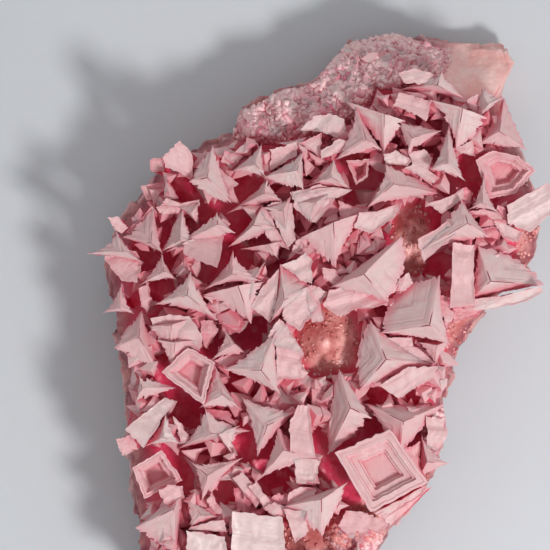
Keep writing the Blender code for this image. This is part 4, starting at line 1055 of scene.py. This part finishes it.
def young_shape(places, widths, chance, keep):
    """Small hopper crystals on stalks: each is three square faces of a leaning cube's corner.

    An arm is width (cos(h) side + sin(h) other - YOUNG_DROOP axis), the face between two arms ends
    at a share of their sum, and the walls draw in to a waist and go down into the slab.  Crystals
    whose rim keep refuses, or whose foot would come out past the slab's edge, are left out.
    """
    count = len(places)
    axis = unit(chance.normal(size=(count, 3)) * YOUNG_LEAN + (0, 0, 1))
    side = unit(np.cross(axis, unit(chance.normal(size=(count, 3)))))
    other = np.cross(axis, side)
    heading = 2 * math.pi / 3 * np.arange(3) + chance.uniform(-0.25, 0.25, (count, 3))
    arms = np.cos(heading)[..., None] * side[:, None] + np.sin(heading)[..., None] * other[:, None]
    reaches = widths[:, None] * chance.uniform(0.45, 0.75, (count, 3))
    arms = (arms - YOUNG_DROOP * axis[:, None]) * reaches[..., None]
    webs = (arms + np.roll(arms, -1, axis=1)) * chance.uniform(0.42, 0.75, (count, 3, 1))
    rim = places[:, None] + np.stack((arms, webs), axis=2).reshape(count, 6, 3)
    foot = rim.mean(axis=1, keepdims=True) * (1 - YOUNG_FOOT) + rim * YOUNG_FOOT
    clear = keep(rim).all(axis=1) & (slab_reach(foot) < YOUNG_FOOT_LIMIT).all(axis=1)
    places, rim, count = places[clear], rim[clear], int(clear.sum())
    middle, foot = rim.mean(axis=1, keepdims=True), foot[clear]
    foot[..., 2] = slab_height(foot) - YOUNG_SINK
    waist = middle + (rim - middle) * YOUNG_WAIST
    waist[..., 2] = (rim[..., 2] + foot[..., 2]) / 2
    points = np.concatenate((places[:, None], rim, waist, foot), axis=1)
    turn = np.arange(6)
    after = (turn + 1) % 6
    walls = [np.stack((turn, turn + 6, after + 6, after), axis=-1) + start for start in (1, 7)]
    caps = np.array(((0, 1, 2, 3), (0, 3, 4, 5), (0, 5, 6, 1), (13, 18, 17, 16), (13, 16, 15, 14)))
    faces = np.concatenate((caps, *walls)) + 19 * np.arange(count)[:, None, None]
    # Depth below the rim, with which the material paints the walls darker as painted shade
    depth = np.zeros((count, 19))
    depth[:, 1:] = np.tile(rim[..., 2], 3) - points[:, 1:, 2]
    shape = Shape()
    shape.add(points, faces.reshape(-1, 4), depth=np.clip(depth, 0, None), groove=0.0,
              edge=np.tile([0.0] + [0.8, 0.5] * 3 + [0.0] * 12, count),
              shade=np.repeat(chance.uniform(-0.5, 1.8, count), 19),
              layer=np.repeat(chance.uniform(0, 90, count), 19) + np.ravel(depth))
    return shape


def clear_of_clefts(points):
    """Which points lie outside every cleft, stepped pit and bare or sugary patch of the slab."""
    clear = patch_strength(points, SALMON_PATCHES + GRAIN_PATCHES + SUGAR_PATCHES) < 0.5
    pits = []
    for crystal in itertools.chain(*CRYSTALS.values()):
        if crystal.get("pit"):
            low, high = np.min(crystal["outline"], axis=0), np.max(crystal["outline"], axis=0)
            pits.append((*(low + high) / 2, *(high - low) * PIT_REACH))
    for x, y, half_width, half_height in (*CLEFTS, *pits):
        away = (points[..., :2] - to_frame(x, y)[:2]) / (half_width, half_height)
        clear &= np.hypot(away[..., 0], away[..., 1]) > CLEAR_SHARE
    return clear


def cube_shape(places, widths, chance):
    """Small cubes at chance turns, each centred on a place; every cube has its own shade."""
    corner = np.array(list(itertools.product((-0.5, 0.5), repeat=3)))
    faces = np.array(((0, 1, 3, 2), (4, 6, 7, 5), (0, 4, 5, 1), (2, 3, 7, 6), (0, 2, 6, 4),
                      (1, 5, 7, 3)))
    axes = unit(chance.normal(size=(len(places), 3)))
    second = unit(np.cross(axes, unit(chance.normal(size=(len(places), 3)))))
    turns = np.stack((axes, second, np.cross(axes, second)), axis=-2)
    points = (corner * widths[:, None, None]) @ turns + places[:, None]
    index = faces[None] + 8 * np.arange(len(places))[:, None, None]
    shape = Shape()
    shade = 1.9 * crumble(places, 4.0, 57) + chance.uniform(-0.35, 0.45, len(places))
    bare = patch_strength(places, GRAIN_PATCHES)
    shape.add(points, index.reshape(-1, 4), shade=np.repeat(shade, 8), bare=np.repeat(bare, 8))
    return shape


# Materials


def linear(code):
    """Linear red, green, blue and alpha of an sRGB hex colour."""
    shares = (int(code[i : i + 2], 16) / 255 for i in (1, 3, 5))
    return (*(s / 12.92 if s <= 0.04045 else ((s + 0.055) / 1.055) ** 2.4 for s in shares), 1.0)


def add_node(tree, kind, inputs=None, **settings):
    """Adds a node with its settings; each input gets a value or a link from a socket."""
    node = tree.nodes.new(kind)
    for key, value in settings.items():
        setattr(node, key, value)
    for key, value in (inputs or {}).items():
        if isinstance(value, bpy.types.NodeSocket):
            tree.links.new(value, node.inputs[key])
        else:
            node.inputs[key].default_value = value
    return node


def new_material(name):
    """An empty node material with its output, Object coordinates and a shader set for halite."""
    material = bpy.data.materials.new(name)
    material.use_nodes = True
    tree = material.node_tree
    tree.nodes.clear()
    shader = add_node(tree, "ShaderNodeBsdfPrincipled", {
        "IOR": 1.544, "Subsurface Weight": 0.5, "Subsurface Scale": 0.0015,
        "Subsurface Radius": (1.0, 0.6, 0.65)})
    add_node(tree, "ShaderNodeOutputMaterial", {"Surface": shader.outputs["BSDF"]})
    place = add_node(tree, "ShaderNodeTexCoord").outputs["Object"]
    return material, tree, shader, place


def tint(tree, base, colour, value, low=0.0, high=1.0, curve="SMOOTHSTEP"):
    """Base colour that turns to another as a value goes from low to high.

    The value is a socket, or the name of a mark that the mesh carries.
    """
    if isinstance(value, str):
        value = add_node(tree, "ShaderNodeAttribute", attribute_name=value).outputs["Fac"]
    share = add_node(tree, "ShaderNodeMapRange", {0: value, 1: low, 2: high},
                     interpolation_type=curve)
    mix = add_node(tree, "ShaderNodeMix", {0: share.outputs[0], 6: base, 7: colour},
                   data_type="RGBA")
    return mix.outputs[2]


def hopper_material(name, colours, frosted):
    """Hopper halite, grown from brine: each face is frosted by fine etch pits, so it is pale and
    matt, and the clear crystal below it is a deep pink.  The walls turn crimson with depth below
    the rim, the crystal's own colour deepened by painted shade, and faces and walls that see little
    sky take a painted shade and glow."""
    material, tree, shader, place = new_material(name)
    cloud = add_node(tree, "ShaderNodeTexNoise", {
        "Vector": place, "Scale": FROST_CLOUDS / MM, "Detail": 5.0, "Roughness": 0.6}).outputs[0]
    pits = add_node(tree, "ShaderNodeTexNoise", {
        "Vector": place, "Scale": ETCH_PITS / MM, "Detail": 3.0, "Roughness": 0.65}).outputs[0]
    layer = add_node(tree, "ShaderNodeAttribute", attribute_name="layer").outputs["Fac"]
    lines = add_node(tree, "ShaderNodeTexNoise", {"W": layer, "Scale": GROWTH_LINES, "Detail": 3.0},
                     noise_dimensions="1D").outputs[0]
    # Painted shade: light that bounces between pink walls comes out redder at each turn, so
    # hollows are painted a redder pink by the share of the sky that they see, here and in the
    # two materials below
    sky = add_node(tree, "ShaderNodeAmbientOcclusion", {"Distance": FACE_HOLLOW},
                   samples=HOLLOW_SAMPLES).outputs["AO"]
    if frosted:
        thick, thinner, bare, low = (colours.chalk, colours.white_frost, colours.blush,
                                     colours.rose)
    else:
        thick, thinner, bare, low = colours.frost, colours.blush, colours.rose, colours.mauve
    face = tint(tree, thick, thinner, cloud, 0.35, 0.7)
    face = tint(tree, face, colours.white_frost, pits, 0.54, 0.78)
    # Frost that differs at random, and painted shade: low crystals carry high tones, turning rose
    # and mauve
    face = tint(tree, face, bare, "shade", -1.0, 2.2)
    face = tint(tree, face, low, "shade", 0.9, 3.2)
    face = tint(tree, face, bare, lines, 0.52, 0.9)
    face = tint(tree, face, colours.thin, "edge", 0.2, 1.5)
    # Painted shade: a face that sees little sky turns to the upper wall's pink
    face = tint(tree, face, colours.wall, sky, 0.88, 0.0)
    # Painted shade: the groove along an arm is coloured darker
    face = tint(tree, face, colours.groove, "groove", 0.0, 1.3)
    # Painted glow: deep walls go from crimson to a bright pink where they see little sky
    deep = tint(tree, colours.crimson, colours.painted_glow, sky, 0.7, 0.15)
    # Painted shade: the walls deepen from pink to crimson with depth below the rim
    wall = tint(tree, colours.wall, deep, "depth", 1.8, 6.5)
    base = tint(tree, face, wall, "depth", 0.2, 2.6)
    pitted = add_node(tree, "ShaderNodeBump", {
        "Strength": 0.35, "Distance": 0.00012, "Height": pits}).outputs[0]
    lined = add_node(tree, "ShaderNodeBump", {
        "Strength": 0.4, "Distance": 0.0003, "Height": lines, "Normal": pitted}).outputs[0]
    gloss = add_node(tree, "ShaderNodeMapRange", {
        0: cloud, 3: 0.22 if frosted else 0.42, 4: 0.62}).outputs[0]
    for key, value in {"Base Color": base, "Roughness": gloss, "Normal": lined}.items():
        tree.links.new(value, shader.inputs[key])
    return material


def crystal_material(colours, frosted=False):
    """The material of all crystals with the same frost, made once."""
    name = "chalky_hopper_halite" if frosted else "etched_hopper_halite"
    return bpy.data.materials.get(name) or hopper_material(name, colours, frosted)


def slab_material(colours):
    """Massive halite: grown-together grains, waxy where they are broken, crimson between the
    crystals, with painted shade on open ground and a painted glow in the deepest clefts, a wall
    darkened by painted shade, and salmon where the mass is bare."""
    material, tree, shader, place = new_material("waxy_massive_halite")
    grains = add_node(tree, "ShaderNodeTexVoronoi", {
        "Vector": place, "Scale": SLAB_GRAINS / MM}, feature="F1").outputs["Distance"]
    cloud = add_node(tree, "ShaderNodeTexNoise", {
        "Vector": place, "Scale": SLAB_CLOUDS / MM, "Detail": 6.0, "Roughness": 0.6}).outputs[0]
    speck = add_node(tree, "ShaderNodeTexNoise", {
        "Vector": place, "Scale": SLAB_SPECKS / MM, "Detail": 2.0}).outputs[0]
    sky = add_node(tree, "ShaderNodeAmbientOcclusion", {"Distance": SLAB_HOLLOW},
                   samples=HOLLOW_SAMPLES).outputs["AO"]
    # Painted shade: the slab's wall and the outer rim of its top are a dark brown crimson
    wall = tint(tree, colours.side, colours.side_pale, cloud, 0.35, 0.7)
    wall = tint(tree, wall, colours.salmon_pale, "tone", 0.1, 1.6)
    wall = tint(tree, wall, colours.ruby, "tone", -0.1, -1.6)
    base = tint(tree, colours.crimson, colours.ruby, cloud, 0.3, 0.75)
    # Painted shade and glow: open ground stays a dark crimson, the deepest clefts turn bright pink
    base = tint(tree, base, colours.painted_glow, sky, 0.45, 0.05)
    parts = {"salmon": tint(tree, colours.salmon, colours.salmon_pale, cloud, 0.35, 0.65),
             "floor": tint(tree, colours.hearth, colours.salmon, cloud, 0.35, 0.75),
             "sugar": tint(tree, colours.sugar, colours.sugar_deep, speck, 0.4, 0.65),
             "wall": wall}
    for name, part in parts.items():
        base = tint(tree, base, part, name, curve="LINEAR")
    # Each grain is a little darker at its border and stands out by a bump
    dim = add_node(tree, "ShaderNodeMapRange", {0: grains, 3: 1.0, 4: 0.8}).outputs[0]
    base = add_node(tree, "ShaderNodeMix", {0: 0.5, 6: base, 7: dim}, data_type="RGBA",
                    blend_type="MULTIPLY").outputs[2]
    grained = add_node(tree, "ShaderNodeBump", {
        "Strength": 0.6, "Distance": 0.0003, "Height": grains}, invert=True).outputs[0]
    shader.inputs["Roughness"].default_value = 0.42
    tree.links.new(base, shader.inputs["Base Color"])
    tree.links.new(grained, shader.inputs["Normal"])
    return material


def sugar_material(colours):
    """Sugary druse: loose-looking little cubes, clear enough to show pink and white by turns."""
    material, tree, shader, place = new_material("sugary_halite")
    shader.inputs["Subsurface Weight"].default_value = 0.0
    cloud = add_node(tree, "ShaderNodeTexNoise", {
        "Vector": place, "Scale": DRUSE_CLOUDS / MM, "Detail": 2.0}).outputs[0]
    sky = add_node(tree, "ShaderNodeAmbientOcclusion", {"Distance": DRUSE_HOLLOW},
                   samples=HOLLOW_SAMPLES).outputs["AO"]
    base = tint(tree, colours.sugar_deep, colours.sugar, "shade", -1.2, 0.1)
    base = tint(tree, base, colours.white_frost, "shade", 0.6, 1.7)
    base = tint(tree, base, colours.rose, cloud, 0.5, 0.8)
    salmon = tint(tree, colours.hearth, colours.salmon, "shade", -0.6, 1.2)
    base = tint(tree, base, salmon, "bare", curve="LINEAR")
    # Painted shade: cubes that see little sky turn to the deep pink
    base = tint(tree, base, colours.sugar_deep, sky, 0.6, 0.05)
    tree.links.new(base, shader.inputs["Base Color"])
    shader.inputs["Roughness"].default_value = 0.45
    return material


def floor_material(colours):
    """Matt board: smooth pale paper with a faint cloudiness over some centimetres."""
    material, tree, shader, place = new_material("matt_board")
    cloud = add_node(tree, "ShaderNodeTexNoise", {
        "Vector": place, "Scale": BOARD_CLOUDS / MM, "Detail": 2.0}).outputs[0]
    base = tint(tree, colours.floor, colours.floor_shade, cloud, 0.2, 0.8)
    tree.links.new(base, shader.inputs["Base Color"])
    shader.inputs["Roughness"].default_value = 0.8
    return material


# Settings


def length(label, description, default, top=0.02):
    """A length setting in metres."""
    return bpy.props.FloatProperty(name=label, description=description, default=default, min=0.0,
                                   max=top, precision=5, unit="LENGTH")


def whole(label, description, default, low, high):
    """A whole-number setting."""
    return bpy.props.IntProperty(name=label, description=description, default=default, min=low,
                                 max=high)


def colour(label, description, code):
    """A colour setting from an sRGB hex value."""
    return bpy.props.FloatVectorProperty(name=label, description=description, size=4, min=0.0,
                                         max=1.0, subtype="COLOR", default=linear(code))


class HaliteSizes(bpy.types.PropertyGroup):
    """Sizes of the fine relief."""

    terraces: whole("Terraces", "Growth terraces on each hopper face", 3, 1, 8)
    terrace_drop: length("Terrace drop", "Mean height of a growth terrace's riser", 0.00014)
    groove_depth: length("Groove depth", "Depth of the groove along an arm", 0.0007)
    nick_depth: length("Nick depth", "Depth of the steps in a crystal's free edge", 0.0016)
    cap_roughness: length("Face roughness", "Height of the unevenness of a crystal's face", 0.00034)
    wall_roughness: length("Wall roughness", "Width of the unevenness of a crystal's wall", 0.0004)
    wall_steps: whole("Wall steps", "Growth layers down a crystal's wall", 8, 2, 20)
    foot_sink: length("Foot sink", "How far a crystal's foot goes into the slab", 0.0016)
    arm_points: whole("Points along an arm", "Surface points from a corner to an arm's tip", 11, 4,
                      40)
    line_points: whole("Growth lines", "Growth lines from an arm to the free edge", 16, 4, 40)
    side_points: whole("Points along a side", "Surface points along a plate's side", 12, 2, 40)
    slab_roughness: length("Slab roughness", "Depth of the hollows in the slab's wall", 0.0009)
    slab_columns: whole("Slab columns", "Surface points round the slab", 460, 60, 1200)
    slab_rows: whole("Slab rows", "Surface points from the slab's middle to its edge", 110, 10, 400)
    wall_rows: whole("Wall rows", "Surface points down the slab's wall", 34, 4, 120)
    young_spacing: length("Young spacing", "Distance between young crystals", 0.0023)
    young_least: length("Smallest young crystal", "Width of the smallest young crystal", 0.0032)
    young_most: length("Largest young crystal", "Width of the largest young crystal", 0.0068)
    sugar_least: length("Smallest druse cube", "Width of the smallest cube of sugary druse", 0.0005)
    sugar_most: length("Largest druse cube", "Width of the largest cube of sugary druse", 0.0018)
    sugar_count: whole("Druse cubes", "Number of cubes of sugary druse", 14000, 0, 16000)
    bare_share: bpy.props.FloatProperty(
        name="Bare share", default=0.08, min=0.0, max=1.0,
        description="Density of cubes on bare halite, as a share of that in the druse")
    flake_count: whole("Druse flakes", "Small hopper crystals tried in the druse", 900, 0, 3000)


class HaliteColours(bpy.types.PropertyGroup):
    """Colours of the halite and the board."""

    frost: colour("Frost", "Frosted face of a hopper crystal", "#C9B3B1")
    white_frost: colour("White frost", "Thickest frost, on edges and white blocks", "#D6C8C4")
    blush: colour("Blush", "Face where the frost is thin", "#CCA9A8")
    rose: colour("Rose", "Face with little frost", "#CC9C9E")
    thin: colour("Thin edge", "Face near its free edge, where the crystal is thin", "#D08F98")
    # Mauve is partly painted shade, for low crystals in the shade of their neighbours
    mauve: colour("Mauve", "Bare face of a low crystal", "#C06A7A")
    chalk: colour("Chalk", "Thick frost of the white blocks", "#BFB0AE")
    # The groove's colour is painted shade in the crease along an arm
    groove: colour("Groove", "Line along an arm", "#8E606C")
    # The upper wall's pink is also the painted shade of faces that see little sky
    wall: colour("Upper wall", "Wall of a crystal just below its rim", "#DE7486")
    # Crimson is partly the halite's own colour and partly painted shade deep in the clefts
    crimson: colour("Crimson", "Clear halite seen through several millimetres", "#D22E56")
    # Painted glow of the deepest clefts, standing in for light that crosses the clear halite
    painted_glow: colour("Glow", "Halite lit from all sides in the bottom of a cleft", "#FF567C")
    ruby: colour("Ruby", "Slab between the crystals", "#D02C52")
    salmon: colour("Salmon", "Bare massive halite", "#F4B8B0")
    salmon_pale: colour("Pale salmon", "Bleached massive halite", "#F6CCC6")
    hearth: colour("Inner salmon", "Massive halite laid bare between the crystals", "#C26C68")
    # Painted shade: the slab's wall is a dark brown crimson, as if in shade all round
    side: colour("Side", "Weathered wall of the slab", "#843644")
    side_pale: colour("Pale side", "Paler clouds of the slab's wall", "#C4807E")
    sugar: colour("Sugar", "Sugary druse", "#F6CCCC")
    # Deep sugar is both the druse's own deep pink and its painted shade in hollows
    sugar_deep: colour("Deep sugar", "Sugary druse in its hollows", "#E06A84")
    floor: colour("Board", "Board that the specimen lies on", "#C3C6C9")
    floor_shade: colour("Board shade", "Darker clouds of the board", "#BFC2C6")


# Operators


def build_crystals(context, names, frosted=False):
    """Fine surfaces for a group of crystals, one piece for each solid of the frame."""
    sizes, colours = context.scene.halite_sizes, context.scene.halite_colours
    material = crystal_material(colours, frosted)
    for node in names:
        chance = np.random.default_rng(sum(map(ord, node)))
        shape = Shape()
        for crystal in CRYSTALS[node]:
            (add_star if "corner" in crystal else add_plate)(shape, crystal, sizes, chance)
        piece = make_piece(node + "_fine", shape, material, sharp=CRYSTAL_CREASE)
        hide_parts(node)


class HALITE_OT_slab(bpy.types.Operator):
    """Massive halite slab with its rough top, wall and flat base"""

    bl_idname = "halite.slab"
    bl_label = "Slab"

    def execute(self, context):
        sizes, colours = context.scene.halite_sizes, context.scene.halite_colours
        piece = make_piece("halite_slab_fine", slab_shape(sizes), slab_material(colours),
                           sharp=SLAB_CREASE)
        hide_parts("halite_slab")
        return {"FINISHED"}


class CrystalGroup:
    """Fine surfaces for the crystals whose names begin with one of starts."""

    starts = ()
    frosted = False

    def execute(self, context):
        names = [name for name in CRYSTALS if name.startswith(self.starts)]
        build_crystals(context, names, self.frosted)
        return {"FINISHED"}


class HALITE_OT_west(CrystalGroup, bpy.types.Operator):
    """Hopper crystals of the west side"""

    bl_idname = "halite.west"
    bl_label = "West"
    starts = ("hopper_w_", "hopper_nw_")


class HALITE_OT_south_west(CrystalGroup, bpy.types.Operator):
    """Hopper crystals of the south-west side"""

    bl_idname = "halite.south_west"
    bl_label = "South-west"
    starts = ("hopper_sw_",)


class HALITE_OT_north(CrystalGroup, bpy.types.Operator):
    """Hopper crystals of the north side"""

    bl_idname = "halite.north"
    bl_label = "North"
    starts = ("hopper_n_",)


class HALITE_OT_north_east(CrystalGroup, bpy.types.Operator):
    """Hopper crystals of the north-east side"""

    bl_idname = "halite.north_east"
    bl_label = "North-east"
    starts = ("hopper_ne_",)


class HALITE_OT_centre(CrystalGroup, bpy.types.Operator):
    """Hopper crystals of the middle"""

    bl_idname = "halite.centre"
    bl_label = "Centre"
    starts = ("hopper_c_",)


class HALITE_OT_east(CrystalGroup, bpy.types.Operator):
    """Hopper crystals of the east side"""

    bl_idname = "halite.east"
    bl_label = "East"
    starts = ("hopper_e_",)


class HALITE_OT_south_east(CrystalGroup, bpy.types.Operator):
    """Hopper crystals of the south-east side"""

    bl_idname = "halite.south_east"
    bl_label = "South-east"
    starts = ("hopper_se_",)


class HALITE_OT_south(CrystalGroup, bpy.types.Operator):
    """Hopper crystals of the south end"""

    bl_idname = "halite.south"
    bl_label = "South"
    starts = ("hopper_s_",)


class HALITE_OT_blocks(CrystalGroup, bpy.types.Operator):
    """Blocky crystals and slats"""

    bl_idname = "halite.blocks"
    bl_label = "Blocks and slats"
    starts = ("block_w_", "column_", "slats_")


class HALITE_OT_frosted(CrystalGroup, bpy.types.Operator):
    """Blocks and slabs under a thick white frost"""

    bl_idname = "halite.frosted"
    bl_label = "Frosted blocks"
    starts = ("slab_", "cube_", "block_s_", "block_n_")
    frosted = True


class HALITE_OT_low_blocks(bpy.types.Operator):
    """Low blocks that stand between the hopper crystals"""

    bl_idname = "halite.low_blocks"
    bl_label = "Low blocks"

    def execute(self, context):
        chance = np.random.default_rng(5)
        shape = Shape()
        for block in LEDGES:
            add_plate(shape, block, context.scene.halite_sizes, chance)
        material = crystal_material(context.scene.halite_colours)
        make_piece("low_blocks", shape, material, sharp=CRYSTAL_CREASE)
        return {"FINISHED"}


class HALITE_OT_young(bpy.types.Operator):
    """Young hopper crystals that fill the ground between the great ones"""

    bl_idname = "halite.young"
    bl_label = "Young crystals"

    def execute(self, context):
        sizes = context.scene.halite_sizes
        chance = np.random.default_rng(23)
        step = sizes.young_spacing / MM
        low, high = (np.array(corner[:2]) / MM for corner in SOLID_BOX)
        columns, rows = np.meshgrid(np.arange(low[0], high[0], step),
                                    np.arange(low[1], high[1], step * 0.87))
        columns = columns + (np.arange(len(rows)) % 2)[:, None] * step / 2
        places = np.stack((columns.ravel(), rows.ravel(), np.zeros(rows.size)), axis=-1)
        places[:, :2] += chance.uniform(-0.3, 0.3, (len(places), 2)) * step
        places = places[slab_reach(places) < YOUNG_LIMIT]
        places[:, 2] = slab_height(places) + chance.uniform(*YOUNG_RISE, len(places))
        places[:, 2] += YOUNG_RIM_RISE * smooth_step(0.72, 0.92, slab_reach(places))
        widths = chance.uniform(sizes.young_least, sizes.young_most, len(places)) / MM
        shape = young_shape(places, widths, chance, clear_of_clefts)
        material = crystal_material(context.scene.halite_colours)
        make_piece("young_crystals", shape, material, sharp=CRYSTAL_CREASE)
        return {"FINISHED"}


class HALITE_OT_druse(bpy.types.Operator):
    """Sugary druse of small cubes on the slab, and small hopper crystals in it"""

    bl_idname = "halite.druse"
    bl_label = "Sugary druse"

    def execute(self, context):
        sizes, colours = context.scene.halite_sizes, context.scene.halite_colours
        chance = np.random.default_rng(17)
        patches = np.array(SUGAR_PATCHES + GRAIN_PATCHES, float)
        areas = patches[:, 2] * patches[:, 3]
        areas[len(SUGAR_PATCHES):] *= sizes.bare_share
        pick = patches[chance.choice(len(patches), sizes.sugar_count, p=areas / areas.sum())]
        turn = chance.uniform(0, 2 * math.pi, sizes.sugar_count)
        away = np.sqrt(chance.uniform(0, 1.2, sizes.sugar_count))
        places = to_frame(pick[:, 0] + pick[:, 2] * away * np.cos(turn),
                          pick[:, 1] + pick[:, 3] * away * np.sin(turn))
        places = places[slab_reach(places) < DRUSE_LIMIT]
        heap = patch_strength(places, SUGAR_PATCHES)
        flat = places * (1, 1, 0)
        places[:, 2] = slab_height(places) + 0.5 * crumble(flat, HEAP_GRAIN, 61) - DRUSE_SINK
        places[:, 2] += heap * (HEAP_HEIGHT + HEAP_SWELL * crumble(flat, HEAP_GRAIN, 63))
        places[:, 2] += chance.uniform(-0.2, 0.5, len(places))
        size = chance.uniform(0, 1, len(places)) ** 3 * (0.3 + 0.7 * heap)
        widths = (sizes.sugar_least + (sizes.sugar_most - sizes.sugar_least) * size) / MM
        shape = cube_shape(places, widths, chance)
        make_piece("sugary_druse", shape, sugar_material(colours))
        flakes = places[chance.choice(len(places), sizes.flake_count)] + (0, 0, FLAKE_RISE)
        widths = chance.uniform(sizes.young_least * 0.5, sizes.young_most * 0.65, len(flakes)) / MM
        shape = young_shape(flakes, widths, chance,
                            lambda rim: patch_strength(rim, SUGAR_PATCHES) > 0.2)
        make_piece("druse_flakes", shape, crystal_material(colours),
                   sharp=CRYSTAL_CREASE)
        return {"FINISHED"}


class HALITE_OT_stage(bpy.types.Operator):
    """Pale board, soft light from the lower right and a camera that looks straight down"""

    bl_idname = "halite.stage"
    bl_label = "Stage"

    def execute(self, context):
        scene, colours = context.scene, context.scene.halite_colours
        mesh = bpy.data.meshes.new("board")
        signs = ((-1, -1), (1, -1), (1, 1), (-1, 1))
        corners = [(x * BOARD_HALF, y * BOARD_HALF, 0) for x, y in signs]
        mesh.from_pydata(corners, [], [(0, 1, 2, 3)])
        board = bpy.data.objects.new("board", mesh)
        mesh.materials.append(floor_material(colours))
        scene.collection.objects.link(board)
        lamp = bpy.data.lights.new("softbox", "AREA")
        lamp.shape = "DISK"
        lamp.energy = LAMP_POWER
        lamp.size = LAMP_WIDTH
        softbox = bpy.data.objects.new("softbox", lamp)
        softbox.location = Vector(LAMP_FROM) * LAMP_DISTANCE
        softbox.rotation_euler = Vector(LAMP_FROM).to_track_quat("Z", "Y").to_euler()
        scene.collection.objects.link(softbox)
        world = bpy.data.worlds.new("room")
        world.use_nodes = True
        background = world.node_tree.nodes["Background"]
        background.inputs["Color"].default_value = ROOM_COLOUR
        background.inputs["Strength"].default_value = ROOM_STRENGTH
        scene.world = world
        scene.view_settings.view_transform = "Standard"
        lens = bpy.data.cameras.new("camera")
        lens.sensor_width = SENSOR_MM
        lens.lens = SENSOR_MM * (CAMERA_HEIGHT - VIEW_LEVEL) / VIEW_WIDTH
        lens.clip_end = CAMERA_END
        camera = bpy.data.objects.new("camera", lens)
        camera.location = (*VIEW_CENTRE, CAMERA_HEIGHT)
        scene.collection.objects.link(camera)
        scene.camera = camera
        return {"FINISHED"}


class HALITE_PT_specimen(bpy.types.Panel):
    """Lists the steps that build the specimen"""

    bl_idname = "HALITE_PT_specimen"
    bl_label = "Hopper halite"
    bl_space_type = "VIEW_3D"
    bl_region_type = "UI"
    bl_category = "Halite"

    def draw(self, context):
        layout = self.layout
        for step in STEPS:
            layout.operator(step.bl_idname)
        for group in (context.scene.halite_sizes, context.scene.halite_colours):
            for key in group.bl_rna.properties.keys():
                if key not in {"rna_type", "name"}:
                    layout.prop(group, key)


STEPS = (HALITE_OT_slab, HALITE_OT_west, HALITE_OT_south_west, HALITE_OT_north,
         HALITE_OT_north_east, HALITE_OT_centre, HALITE_OT_east, HALITE_OT_south_east,
         HALITE_OT_south, HALITE_OT_blocks, HALITE_OT_frosted, HALITE_OT_low_blocks,
         HALITE_OT_young, HALITE_OT_druse, HALITE_OT_stage)
CLASSES = (HaliteSizes, HaliteColours, *STEPS, HALITE_PT_specimen)


def register():
    for each in CLASSES:
        bpy.utils.register_class(each)
    bpy.types.Scene.halite_sizes = bpy.props.PointerProperty(type=HaliteSizes)
    bpy.types.Scene.halite_colours = bpy.props.PointerProperty(type=HaliteColours)


def unregister():
    del bpy.types.Scene.halite_colours
    del bpy.types.Scene.halite_sizes
    for each in reversed(CLASSES):
        bpy.utils.unregister_class(each)


def main():
    """Registers the classes and builds every step."""
    register()
    for step in STEPS:
        group, name = step.bl_idname.split(".")
        getattr(getattr(bpy.ops, group), name)()


if __name__ == "__main__":
    main()
